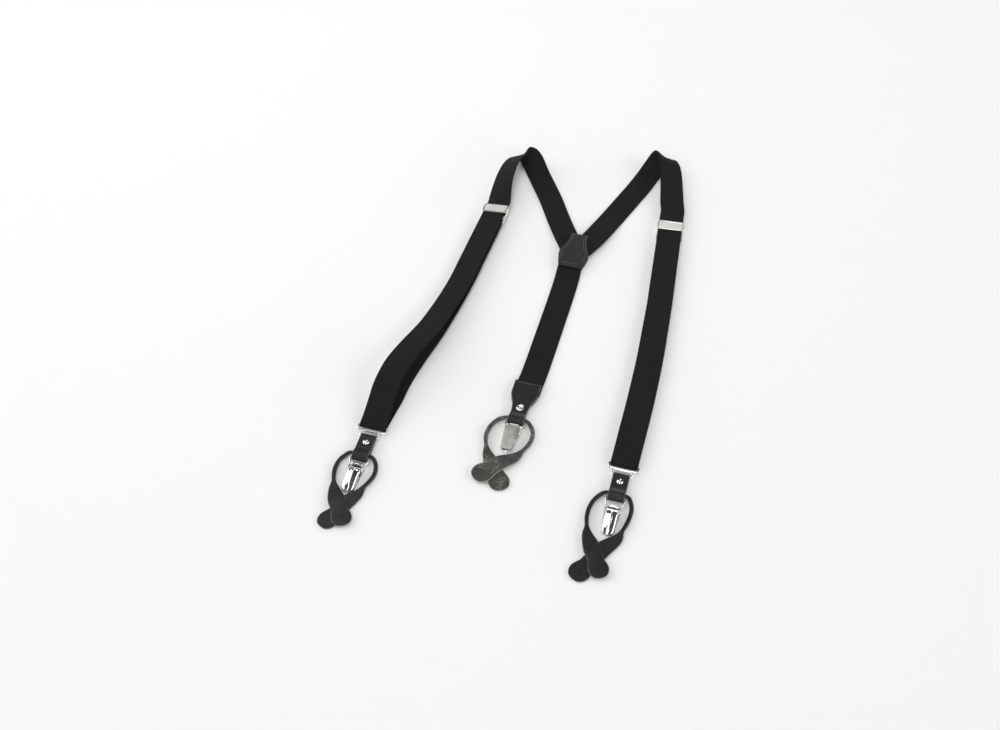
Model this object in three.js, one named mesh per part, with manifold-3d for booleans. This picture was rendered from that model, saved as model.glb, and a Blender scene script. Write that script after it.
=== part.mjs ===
// Convertible suspenders, laid out flat: a rear strap and two shoulder straps meet under a back patch,
// each shoulder strap rolls over once, runs down through a slider, round a strap ring and back up to
// the slider. Each of the three ends has a leather tab, a lever clip and a button runner.
// Millimetres. +X right, +Y from the trouser ends towards the shoulders, +Z up from the surface.
import * as THREE from 'three';
import { mergeVertices } from 'three/addons/utils/BufferGeometryUtils.js';
import Module from 'manifold-3d';

const wasm = await Module();
wasm.setup();

// driving dimensions
const STRAP_WIDTH = 25;
const WEB = 1.4; // webbing thickness
const LEATHER = 1.4; // leather thickness
const GAP = 0.3; // clearance between pieces that touch
const FLOOR = 0.2; // lowest face of the webbing above the surface
const RETURN_Z = FLOOR + WEB / 2; // middle of the lower layer of a doubled strap
const FRONT_Z = 5.5; // middle of the upper layer
const TAB_WIDTH = 15; // leather tab of a front end
const CORD_RADIUS = 1.95; // rolled cord of a button runner
const FOLD_Z = 3.6; // height of the cord's axis inside the leather fold
const CORD_Y = 4.2; // the cord's and the bail's places in the leather fold
const BAIL_Y = 0.9;
const BAIL_WIRE = 0.8;
const RING_WIRE = 0.8;
const SLIDER_HALF = 13.5; // half width of the slider
const WALL = 0.7; // thickness of its side walls
const RIVET_Y = 17.2;
const TAB_BACK = 1.6; // middle of a front tab's back layer and front layer at the rivet
const TAB_FRONT = 5;
const REAR_BACK = 2.4; // middle of the rear tab's back layer at the rivet

// where each piece goes
const LEFT_END = [-126.6, -304.4]; // middle of the leather fold of each end
const RIGHT_END = [103.7, -284.7];
const REAR_END = [-2.3, -228.9];
const LEFT_SLIDER = [-94.3, 33.6];
const RIGHT_SLIDER = [88.9, 59.4];
const LEFT_SLOPE = -0.058; // sideways drift of the strap for each mm that it comes down
const RIGHT_SLOPE = 0.084;
const LEFT_BANK = 10; // degrees that the left strap leans, inner edge up

const webbing = new THREE.MeshStandardMaterial({ color: 0x242424, roughness: 0.9, metalness: 0 });
const leather = new THREE.MeshStandardMaterial({ color: 0x343430, roughness: 0.55, metalness: 0 });
const nickel = new THREE.MeshStandardMaterial({ color: 0xd8d8d4, roughness: 0.2, metalness: 1 });
const satin = new THREE.MeshStandardMaterial({ color: 0xc9c8c2, roughness: 0.4, metalness: 1 });
const plastic = new THREE.MeshStandardMaterial({ color: 0x1c1c1c, roughness: 0.6, metalness: 0 });

const suspenders = new THREE.Group();

const radians = (degrees) => (degrees * Math.PI) / 180;
const vec = (p) => new THREE.Vector3(...p);

function mesh(parent, name, geometry, material) {
  const made = new THREE.Mesh(geometry, material);
  made.name = name;
  parent.add(made);
  return made;
}

// a closed body through rings of points, with flat ends unless the rings join up
function loft(rings, closed = false) {
  const n = rings[0].length;
  const position = rings.flat().flatMap((p) => [p.x, p.y, p.z]);
  const index = [];
  const last = closed ? rings.length : rings.length - 1;
  for (let i = 0; i < last; i += 1) {
    const next = (i + 1) % rings.length;
    for (let k = 0; k < n; k += 1) {
      const k2 = (k + 1) % n;
      index.push(i * n + k, next * n + k, i * n + k2);
      index.push(i * n + k2, next * n + k, next * n + k2);
    }
  }
  if (!closed) {
    const end = (rings.length - 1) * n;
    for (let k = 1; k < n - 1; k += 1) {
      index.push(0, k, k + 1);
      index.push(end, end + k + 1, end + k);
    }
  }
  const geometry = new THREE.BufferGeometry();
  geometry.setAttribute('position', new THREE.Float32BufferAttribute(position, 3));
  geometry.setIndex(index);
  return geometry;
}

// stations: [x, y, z, [across], width, thickness]; the section is a flat rectangle or an ellipse
function sampled(stations, steps) {
  const line = new THREE.CatmullRomCurve3(stations.map((s) => vec(s)), false, 'centripetal');
  const across = new THREE.CatmullRomCurve3(stations.map((s) => vec(s[3])), false, 'centripetal');
  const size = new THREE.CatmullRomCurve3(
    stations.map((s, i) => new THREE.Vector3(s[4] ?? STRAP_WIDTH, s[5] ?? WEB, i * 1e-3)),
    false,
    'centripetal',
  );
  const frames = [];
  for (let i = 0; i <= steps; i += 1) {
    const t = i / steps;
    const middle = line.getPoint(t);
    const along = line.getTangent(t);
    const side = across.getPoint(t);
    side.addScaledVector(along, -side.dot(along)).normalize();
    const up = new THREE.Vector3().crossVectors(side, along).normalize();
    const { x: width, y: thickness } = size.getPoint(t);
    frames.push({ middle, side, up, width, thickness });
  }
  return frames;
}

const flatSection = [[-0.5, -0.5], [0.5, -0.5], [0.5, 0.5], [-0.5, 0.5]];
const roundSection = [];
for (let k = 0; k < 8; k += 1) {
  const angle = ((k + 0.5) * Math.PI) / 4;
  roundSection.push([Math.cos(angle) / 2, Math.sin(angle) / 2]);
}

function ribbon(stations, steps, section = flatSection) {
  const rings = sampled(stations, steps).map((f) =>
    section.map(([a, b]) =>
      f.middle
        .clone()
        .addScaledVector(f.side, a * f.width)
        .addScaledVector(f.up, b * f.thickness),
    ),
  );
  return loft(rings);
}

// joins and cuts
function solid(geometry) {
  const plain = new THREE.BufferGeometry();
  const source = geometry.index ? geometry.toNonIndexed() : geometry;
  plain.setAttribute('position', source.attributes.position.clone());
  const merged = mergeVertices(plain, 1e-4);
  return new wasm.Manifold(
    new wasm.Mesh({
      numProp: 3,
      vertProperties: new Float32Array(merged.attributes.position.array),
      triVerts: new Uint32Array(merged.index.array),
    }),
  );
}

function surface(body) {
  const out = body.getMesh();
  const geometry = new THREE.BufferGeometry();
  geometry.setAttribute('position', new THREE.BufferAttribute(out.vertProperties, 3));
  geometry.setIndex(new THREE.BufferAttribute(out.triVerts, 1));
  return geometry;
}

const join = (pieces) => surface(pieces.map(solid).reduce((a, b) => a.add(b)));
const cut = (geometry, tools) =>
  surface(tools.map(solid).reduce((a, b) => a.subtract(b), solid(geometry)));

function box(x0, x1, y0, y1, z0, z1) {
  const geometry = new THREE.BoxGeometry(x1 - x0, y1 - y0, z1 - z0);
  return geometry.translate((x0 + x1) / 2, (y0 + y1) / 2, (z0 + z1) / 2);
}

// a rod along X
function rod(x0, x1, y, z, radius, sides = 12) {
  const geometry = new THREE.CylinderGeometry(radius, radius, x1 - x0, sides);
  return geometry.rotateZ(Math.PI / 2).translate((x0 + x1) / 2, y, z);
}

// an upright cylinder
function post(x, y, z0, z1, radius, sides = 20) {
  const geometry = new THREE.CylinderGeometry(radius, radius, z1 - z0, sides);
  return geometry.rotateX(Math.PI / 2).translate(x, y, (z0 + z1) / 2);
}

// a plate cut to a side profile in Y and Z, from x0 to x1
function sidePlate(profile, x0, x1) {
  const shape = new THREE.Shape(profile.map(([y, z]) => new THREE.Vector2(y, z)));
  const geometry = new THREE.ExtrudeGeometry(shape, { depth: x1 - x0, bevelEnabled: false });
  return geometry.rotateZ(Math.PI / 2).rotateY(Math.PI / 2).translate(x0, 0, 0);
}

// a plate cut to a plan outline in X and Y, from z0 to z1
function planPlate(shape, z0, z1, curveSegments = 10) {
  const geometry = new THREE.ExtrudeGeometry(shape, { depth: z1 - z0, bevelEnabled: false, curveSegments });
  return geometry.translate(0, 0, z0);
}

// a round wire round a closed loop of points
function wireLoop(points, radius, steps, sides = 6) {
  const line = new THREE.CatmullRomCurve3(points.map(vec), true, 'centripetal', 0.5);
  const up = new THREE.Vector3(0, 0, 1);
  const rings = [];
  for (let i = 0; i < steps; i += 1) {
    const middle = line.getPoint(i / steps);
    const along = line.getTangent(i / steps);
    const side = new THREE.Vector3().crossVectors(along, up).normalize();
    const high = new THREE.Vector3().crossVectors(side, along);
    const ring = [];
    for (let k = 0; k < sides; k += 1) {
      const angle = ((k + 0.5) * 2 * Math.PI) / sides;
      ring.push(
        middle
          .clone()
          .addScaledVector(side, radius * Math.cos(angle))
          .addScaledVector(high, radius * Math.sin(angle)),
      );
    }
    rings.push(ring);
  }
  return loft(rings, true);
}

// a rectangle of wire with rounded corners, lying flat
function wireFrame(halfWidth, y0, y1, z, radius) {
  const corner = 1.6;
  const points = [];
  const corners = [[1, y1, 0], [-1, y1, 90], [-1, y0, 180], [1, y0, 270]];
  for (const [side, y, start] of corners) {
    const x = side * (halfWidth - corner);
    const inner = y === y1 ? y1 - corner : y0 + corner;
    for (const turn of [0, 45, 90]) {
      const angle = radians(start + turn);
      points.push([x + corner * Math.cos(angle), inner + corner * Math.sin(angle), z]);
    }
  }
  return wireLoop(points, radius, 20);
}

// the across direction of a strap that comes down with this sideways drift, leaning by bank degrees
function acrossOf(slope, bank = 0) {
  const flat = new THREE.Vector3(1, slope, 0).normalize().multiplyScalar(Math.cos(radians(bank)));
  return [flat.x, flat.y, Math.sin(radians(bank))];
}

// ---- back patch and the straps that meet under it ----

function patchShape() {
  const shape = new THREE.Shape();
  shape.moveTo(-9, 23);
  shape.lineTo(9, 23);
  shape.bezierCurveTo(9.5, 12, 11, 4, 15.2, -2.5);
  shape.lineTo(14.8, -12);
  shape.lineTo(11.4, -25);
  shape.lineTo(-11.4, -25);
  shape.lineTo(-14.8, -12);
  shape.lineTo(-15.2, -2.5);
  shape.bezierCurveTo(-11, 4, -9.5, 12, -9, 23);
  return shape;
}

mesh(suspenders, 'back_patch_under', planPlate(patchShape(), 0, 1.2), leather);
mesh(suspenders, 'back_patch_top', planPlate(patchShape(), 4.9, 6.3), leather);

const LOW = 2.2; // webbing heights under the patch
const HIGH = 3.9;
const REAR_ACROSS = [1, 0, 0];
const rearStrap = [
  [0, -4, LOW, REAR_ACROSS],
  [0.2, -26, LOW - 0.2, REAR_ACROSS],
  [0.8, -40, RETURN_Z, REAR_ACROSS],
  [1, -72, RETURN_Z, REAR_ACROSS],
  [0.6, -113, RETURN_Z, REAR_ACROSS],
  [0.2, -152, RETURN_Z, REAR_ACROSS],
  [-0.3, -172, 1.6, REAR_ACROSS],
  [-0.7, -179, 2.65, REAR_ACROSS],
  [-1, -193, 2.6, REAR_ACROSS],
];
mesh(suspenders, 'rear_strap', ribbon(rearStrap, 26), webbing);

const LEFT_LEG = [0.857, 0.515, 0];
const leftBackLeg = [
  [-4, 4.4, LOW, LEFT_LEG],
  [-16.2, 23.4, LOW, LEFT_LEG],
  [-28.6, 45, RETURN_Z, LEFT_LEG],
  [-42.7, 70.1, RETURN_Z, LEFT_LEG],
  [-60.4, 98, RETURN_Z, LEFT_LEG],
  [-66.9, 108, RETURN_Z, LEFT_LEG],
];
mesh(suspenders, 'left_back_leg', ribbon(leftBackLeg, 16), webbing);

const RIGHT_LEG = [0.952, -0.306, 0];
const rightBackLeg = [
  [5, 2, HIGH, [0.9, -0.43, 0]],
  [13.5, 20, HIGH, [0.92, -0.39, 0]],
  [20.8, 41.5, 2.4, [0.945, -0.33, 0]],
  [27, 60.8, RETURN_Z, RIGHT_LEG],
  [37.6, 92.5, RETURN_Z, RIGHT_LEG],
  [43.6, 110.5, RETURN_Z, RIGHT_LEG],
  [50.6, 135, RETURN_Z, RIGHT_LEG],
];
mesh(suspenders, 'right_back_leg', ribbon(rightBackLeg, 18), webbing);

// ---- front straps: over the shoulder fold and down to the strap ring ----

const LEFT_LIFT = (STRAP_WIDTH / 2) * Math.sin(radians(LEFT_BANK)); // the leaning strap's middle is higher
const leftX = (y) => LEFT_SLIDER[0] + LEFT_SLOPE * (LEFT_SLIDER[1] - y);
const rightX = (y) => RIGHT_SLIDER[0] + RIGHT_SLOPE * (RIGHT_SLIDER[1] - y);
const LEFT_ACROSS = acrossOf(LEFT_SLOPE, LEFT_BANK);
const RIGHT_ACROSS = acrossOf(RIGHT_SLOPE);
const LEFT_RUN = [45, 34, 5, -22, -48, -72]; // the slider's straight run
const RIGHT_RUN = [84, 74, 44, 12, -20, -54];
const BAR_Y = 37; // the strap ring's wide bar, above the end's leather fold
const TURN_LENGTH = 22; // webbing that moves with the ring

const leftTurnTop = LEFT_END[1] + BAR_Y + TURN_LENGTH;
const rightTurnTop = RIGHT_END[1] + BAR_Y + TURN_LENGTH;

const leftFront = [
  [-67.2, 108.5, RETURN_Z, LEFT_LEG],
  [-72.5, 116.5, 2.2, [0.862, 0.505, 0.03]],
  [-77, 120.2, 6.6, [0.86, 0.5, 0.02]],
  [-82, 120.6, 10.2, [0.9, 0.32, 0.16]],
  [-87.3, 119, 12.2, [0.9, 0.17, 0.38]],
  [-91.8, 113.4, 13.8, [0.86, -0.02, 0.5]],
  [-95.2, 104, 14.6, [0.84, -0.07, 0.54]],
  [-96.5, 94, 14.6, [0.835, -0.07, 0.55]],
  [-96.9, 84, 14, [0.85, -0.065, 0.52]],
  [-96.7, 74, 12.7, [0.87, -0.06, 0.48]],
  [-96, 63, 10.8, [0.91, -0.05, 0.4]],
  [-94.9, 54, 9, [0.95, -0.045, 0.29]],
  ...LEFT_RUN.map((y) => [leftX(y), y, FRONT_Z + LEFT_LIFT, LEFT_ACROSS]),
  [-103.5, -102, FRONT_Z + LEFT_LIFT + 1.7, acrossOf(-0.1, 10)],
  [-109.4, -144, 14.2, acrossOf(-0.13, 8)],
  [-117.8, -180, 19.5, acrossOf(-0.15, 5)],
  [-123.6, -205, 20.5, acrossOf(-0.14, 2)],
  [-126.4, -228, 16.5, acrossOf(-0.06, 0)],
  [-126.8, leftTurnTop + 2 * GAP, 9.7, acrossOf(0, 0)],
];
mesh(suspenders, 'left_front_strap', ribbon(leftFront, 66), webbing);

const rightFront = [
  [50.7, 135.4, RETURN_Z, RIGHT_LEG],
  [54.6, 149, 2.4, [0.96, -0.27, 0]],
  [59.5, 157, 7.5, [0.98, -0.2, -0.1]],
  [64.5, 156, 13, [0.97, -0.15, -0.22]],
  [69.5, 149, 14.5, [0.95, -0.03, -0.32]],
  [74, 137.5, 13.4, [0.94, 0.1, -0.3]],
  [78, 122, 11, [0.95, 0.15, -0.22]],
  [81.3, 107, 8.6, [0.97, 0.15, -0.12]],
  [83.9, 95, 6.4, [0.98, 0.12, -0.04]],
  ...RIGHT_RUN.map((y) => [rightX(y), y, FRONT_Z, RIGHT_ACROSS]),
  [100.3, -86, FRONT_Z, acrossOf(0.06)],
  [102.3, -124, FRONT_Z, acrossOf(0.04)],
  [103.5, -174, FRONT_Z, acrossOf(0.01)],
  [103.6, rightTurnTop + GAP, FRONT_Z, acrossOf(0)],
];
mesh(suspenders, 'right_front_strap', ribbon(rightFront, 58), webbing);

// ---- strap turn round the ring's wide bar, return layer and sewn end ----

function strapTurn(name, end, drift, top) {
  const [x, y] = [end[0], end[1] + BAR_Y];
  const radius = (FRONT_Z - RETURN_Z) / 2;
  const middle = (FRONT_Z + RETURN_Z) / 2;
  const around = [90, 45, 0, -45, -90].map((angle) => [
    x,
    y - radius * Math.cos(radians(angle)),
    middle + radius * Math.sin(radians(angle)),
    REAR_ACROSS,
  ]);
  const bottom = [6, 13, 20].map((s) => [x + drift * (s - 6), y + s, RETURN_Z, acrossOf(-drift)]);
  mesh(suspenders, name, ribbon([...top, ...around, ...bottom], 40), webbing);
}

const LEFT_DRIFT = 0.12;
strapTurn('left_strap_turn', LEFT_END, LEFT_DRIFT, [
  [-126.8, leftTurnTop, 9.5, acrossOf(0)],
  [-126.7, LEFT_END[1] + BAR_Y + 9, FRONT_Z + 0.8, REAR_ACROSS],
]);
strapTurn('right_strap_turn', RIGHT_END, 0, [
  [103.6, rightTurnTop, FRONT_Z, REAR_ACROSS],
  [103.7, RIGHT_END[1] + BAR_Y + 9, FRONT_Z, REAR_ACROSS],
]);

const SEWN_Y = -15.5; // the slider's lower bar, below its plate
const SEWN_LENGTH = 14;
const LAYERS = FRONT_Z - RETURN_Z; // distance between the two layers
const returnX = (s) => LEFT_END[0] + LEFT_DRIFT * (s - 6);
const returnZ = (bank) => RETURN_Z + (STRAP_WIDTH / 2) * Math.sin(radians(bank));
const under = (y) => [
  leftX(y) + LAYERS * Math.sin(radians(LEFT_BANK)),
  y,
  FRONT_Z + LEFT_LIFT - LAYERS * Math.cos(radians(LEFT_BANK)),
  LEFT_ACROSS,
];
const leftReturn = [
  ...[20.4, 28, 36].map((s) => [returnX(s), LEFT_END[1] + BAR_Y + s, RETURN_Z, acrossOf(-LEFT_DRIFT)]),
  [-121.6, -208, returnZ(0), acrossOf(-0.08)],
  [-116.8, -180, returnZ(3), acrossOf(-0.14, 3)],
  [-109.2, -144, returnZ(6), acrossOf(-0.13, 6)],
  [-102.8, -102, returnZ(9), acrossOf(-0.1, 9)],
  ...[-72, -40, -22, 3.6].map(under),
];
mesh(suspenders, 'left_strap_return', ribbon(leftReturn, 34), webbing);

const rightReturn = [
  [RIGHT_END[0], RIGHT_END[1] + BAR_Y + 20.4, RETURN_Z, REAR_ACROSS],
  [103.9, -210, RETURN_Z, acrossOf(0)],
  [104, -174, RETURN_Z, acrossOf(0.01)],
  [102.8, -124, RETURN_Z, acrossOf(0.04)],
  [100.6, -86, RETURN_Z, acrossOf(0.06)],
  ...[-54, -20, 10].map((y) => [rightX(y), y, RETURN_Z, RIGHT_ACROSS]),
  [rightX(30), 29.2, RETURN_Z, RIGHT_ACROSS],
];
mesh(suspenders, 'right_strap_return', ribbon(rightReturn, 26), webbing);

// ---- sliders: local Y runs up the strap, local Z is the strap's face, origin in the front layer ----

const BAR_HALF = 0.45; // half thickness of the slider's lower bar
function slider(side, place, slope, bank, lift) {
  const group = new THREE.Group();
  group.position.set(place[0], place[1], FRONT_Z + lift);
  group.rotation.order = 'ZYX';
  group.rotation.set(0, -radians(bank), Math.atan(slope));
  suspenders.add(group);
  const top = WEB / 2 + GAP; // underside of the face plate
  const pinY = 3;
  const pinZ = -2.75;
  const back = RETURN_Z - FRONT_Z; // middle of the return layer
  const plate = new THREE.Shape();
  const [halfHeight, chamfer] = [6.2, 2.1];
  const [cornerX, cornerY] = [SLIDER_HALF - chamfer, halfHeight - chamfer];
  plate.moveTo(-cornerX, -halfHeight);
  plate.lineTo(cornerX, -halfHeight);
  plate.lineTo(SLIDER_HALF, -cornerY);
  plate.lineTo(SLIDER_HALF, cornerY);
  plate.lineTo(cornerX, halfHeight);
  plate.lineTo(-cornerX, halfHeight);
  plate.lineTo(-SLIDER_HALF, cornerY);
  plate.lineTo(-SLIDER_HALF, -cornerY);
  const rail = [[-cornerY, top + 0.4], [cornerY, top + 0.4], [cornerY, -4], [-14, -4], [-17.2, -3.8], [-17.2, -2], [-6, -1.6]];
  const barZ = back + WEB / 2 + GAP + BAR_HALF;
  const bar = box(0.1 - SLIDER_HALF, SLIDER_HALF - 0.1, SEWN_Y - 1.4, SEWN_Y + 1.4, barZ - BAR_HALF, barZ + BAR_HALF);
  const frame = join([
    planPlate(plate, top, top + 1),
    sidePlate(rail, -SLIDER_HALF, -SLIDER_HALF + WALL),
    sidePlate(rail, SLIDER_HALF - WALL, SLIDER_HALF),
    bar,
  ]);
  const holes = [rod(-20, 20, pinY, pinZ, 0.75 + GAP)];
  mesh(group, `${side}_slider_frame`, cut(frame, holes), satin);
  mesh(group, `${side}_slider_pin`, rod(-SLIDER_HALF - 0.2, SLIDER_HALF + 0.2, pinY, pinZ, 0.75), nickel);
  const teeth = [];
  for (let x = -10; x < 11; x += 4) {
    teeth.push(box(x - 0.5, x + 0.5, -6.6, -5.4, pinZ + 0.9, pinZ + 1.7));
  }
  const flap = join([
    rod(-12.3, 12.3, pinY, pinZ, 1.7),
    box(-12.3, 12.3, -6.8, pinY - 0.8, pinZ - 0.1, pinZ + 0.9),
    ...teeth,
  ]);
  mesh(group, `${side}_slider_flap`, cut(flap, [rod(-20, 20, pinY, pinZ, 0.75 + GAP)]), nickel);
  // the webbing's end, wrapped round the lower bar and sewn to itself
  const inner = BAR_HALF + GAP + WEB / 2;
  const wrap = [
    [0, SEWN_Y - SEWN_LENGTH, back, REAR_ACROSS],
    [0, SEWN_Y - 4, back, REAR_ACROSS],
    [0, SEWN_Y + 1.4, barZ - inner + 0.15, REAR_ACROSS],
    [0, SEWN_Y + 2.8, barZ, REAR_ACROSS],
    [0, SEWN_Y + 1.4, barZ + inner, REAR_ACROSS],
    [0, SEWN_Y - 3, barZ + inner - 0.3, REAR_ACROSS],
    [0, SEWN_Y - 8, back + WEB + GAP, REAR_ACROSS],
    [0, SEWN_Y - SEWN_LENGTH, back + WEB + GAP, REAR_ACROSS],
  ];
  mesh(group, `${side}_strap_sewn_end`, ribbon(wrap, 26), webbing);
}

slider('left', LEFT_SLIDER, LEFT_SLOPE, LEFT_BANK, LEFT_LIFT);
slider('right', RIGHT_SLIDER, RIGHT_SLOPE, 0, 0);

// ---- end fittings: local origin at the leather fold, local Y towards the strap ----

const X = REAR_ACROSS;
const INSIDE = CORD_RADIUS + GAP + LEATHER / 2; // leather's middle round the cord

// stations of the leather where it folds round the cord and the bail, from front face to back face
function foldStations(width) {
  return [
    [0, CORD_Y, FOLD_Z + INSIDE, X, width, LEATHER],
    [0, 1, FOLD_Z + INSIDE - 0.7, X, width, LEATHER],
    [0, -1.6, FOLD_Z + 0.4, X, width, LEATHER],
    [0, -1.2, FOLD_Z - 1.8, X, width, LEATHER],
    [0, 1, RETURN_Z, X, width, LEATHER],
    [0, CORD_Y + 1, RETURN_Z, X, width, LEATHER],
  ];
}

// a domed cap with its shank on one side of the leather and a washer on the other
const CAP_RADIUS = 2.9;
const SHANK = 1.15;
function rivet(group, side, faceUp, top, bottom) {
  const ball = new THREE.SphereGeometry(CAP_RADIUS, 14, 10).scale(1, 1, 0.45);
  const dome = cut(ball, [box(-9, 9, -9, 9, -9, 0)]);
  const length = top - bottom + 1;
  const shank = post(0, 0, 0.1 - length, 0.1, SHANK, 12);
  const cap = join([dome, shank]);
  if (!faceUp) cap.rotateX(Math.PI);
  cap.translate(0, RIVET_Y, faceUp ? top + 0.2 : bottom - 0.2);
  const washerZ = faceUp ? bottom - 0.8 : top + 0.2;
  const washer = post(0, RIVET_Y, washerZ, washerZ + 0.6, faceUp ? 3 : 3.9, 16);
  mesh(group, `${side}_rivet_cap`, cap, nickel);
  mesh(group, `${side}_rivet_washer`, cut(washer, [post(0, RIVET_Y, -5, 15, SHANK + GAP, 12)]), nickel);
}

function strapRing(group, side) {
  const z = (FRONT_Z + RETURN_Z) / 2;
  const ring = join([
    wireFrame(13.6, 31.6, BAR_Y, z, RING_WIRE),
    wireFrame(8.7, 24.4, 30.3, z, RING_WIRE),
  ]);
  mesh(group, `${side}_strap_ring`, ring, nickel);
}

function frontTab(group, side) {
  const z = (FRONT_Z + RETURN_Z) / 2;
  const over = RING_WIRE + GAP + LEATHER / 2;
  const leatherAt = (y, height) => [0, y, height, X, TAB_WIDTH, LEATHER];
  const stations = [
    leatherAt(13, TAB_BACK + LEATHER + GAP),
    leatherAt(19.5, TAB_BACK + LEATHER + GAP),
    leatherAt(22.2, 2.6),
    leatherAt(24.4, z - over),
    leatherAt(24.4 + over, z),
    leatherAt(24.4, z + over),
    leatherAt(21, TAB_FRONT),
    leatherAt(11.5, TAB_FRONT),
    ...foldStations(TAB_WIDTH),
    leatherAt(12, TAB_BACK),
    leatherAt(20, TAB_BACK),
  ];
  const hole = post(0, RIVET_Y, -5, 15, SHANK + GAP, 12);
  mesh(group, `${side}_leather_tab`, cut(ribbon(stations, 36), [hole]), leather);
}

function rearTab(group) {
  const wide = STRAP_WIDTH + 0.6;
  const stations = [
    [0, 48, 4.3, X, wide, LEATHER],
    [0, 34, 4.3, X, wide, LEATHER],
    [0, 27, 4.2, X, 22, LEATHER],
    [0, 20, 4.2, X, 17, LEATHER],
    [0, 13, 4.2, X, 15, LEATHER],
    ...foldStations(TAB_WIDTH),
    [0, 13, REAR_BACK, X, 15, LEATHER],
    [0, 21, REAR_BACK, X, 17, LEATHER],
    [0, 27, REAR_BACK - 0.6, X, 22, LEATHER],
    [0, 34, RETURN_Z, X, wide, LEATHER],
    [0, 48, RETURN_Z, X, wide, LEATHER],
  ];
  const hole = post(0, RIVET_Y, -5, 15, SHANK + GAP, 12);
  mesh(group, 'rear_leather_tab', cut(ribbon(stations, 36), [hole]), leather);
}

// a wire trapezium from the leather fold to the clip's barrel
function bail(group, side, barrelY, barrelZ) {
  const z = FOLD_Z - 0.3;
  const points = [
    [-7.4, BAIL_Y, z],
    [0, BAIL_Y, z],
    [7.4, BAIL_Y, z],
    [8.5, BAIL_Y - 0.8, z],
    [8.6, -1.8, z],
    [7.4, (barrelY - 2) / 2 - 1, (z + barrelZ) / 2],
    [5.9, barrelY + 0.7, barrelZ],
    [4.6, barrelY, barrelZ],
    [0, barrelY, barrelZ],
    [-4.6, barrelY, barrelZ],
    [-5.9, barrelY + 0.7, barrelZ],
    [-7.4, (barrelY - 2) / 2 - 1, (z + barrelZ) / 2],
    [-8.6, -1.8, z],
    [-8.5, BAIL_Y - 0.8, z],
  ];
  mesh(group, `${side}_clip_bail`, wireLoop(points, BAIL_WIRE, 34), nickel);
}

// the clip's own frame: origin on the barrel's axis at the surface it lies on, -Y towards the jaws
const BARREL_Z = 2.5;
const PIN_Y = -5.2;
const PIN_Z = 4.6;
const PIN_RADIUS = 0.8;
const KNUCKLE = 2.1;
const CLIP_TIP = -28.6; // the jaws' tip
const PLATE_TIP = -27.6;
const LEVER_HALF = 5.9;
const LEVER_INSIDE = 4.9;
const CLIP_HEIGHT = 8.8;

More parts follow.
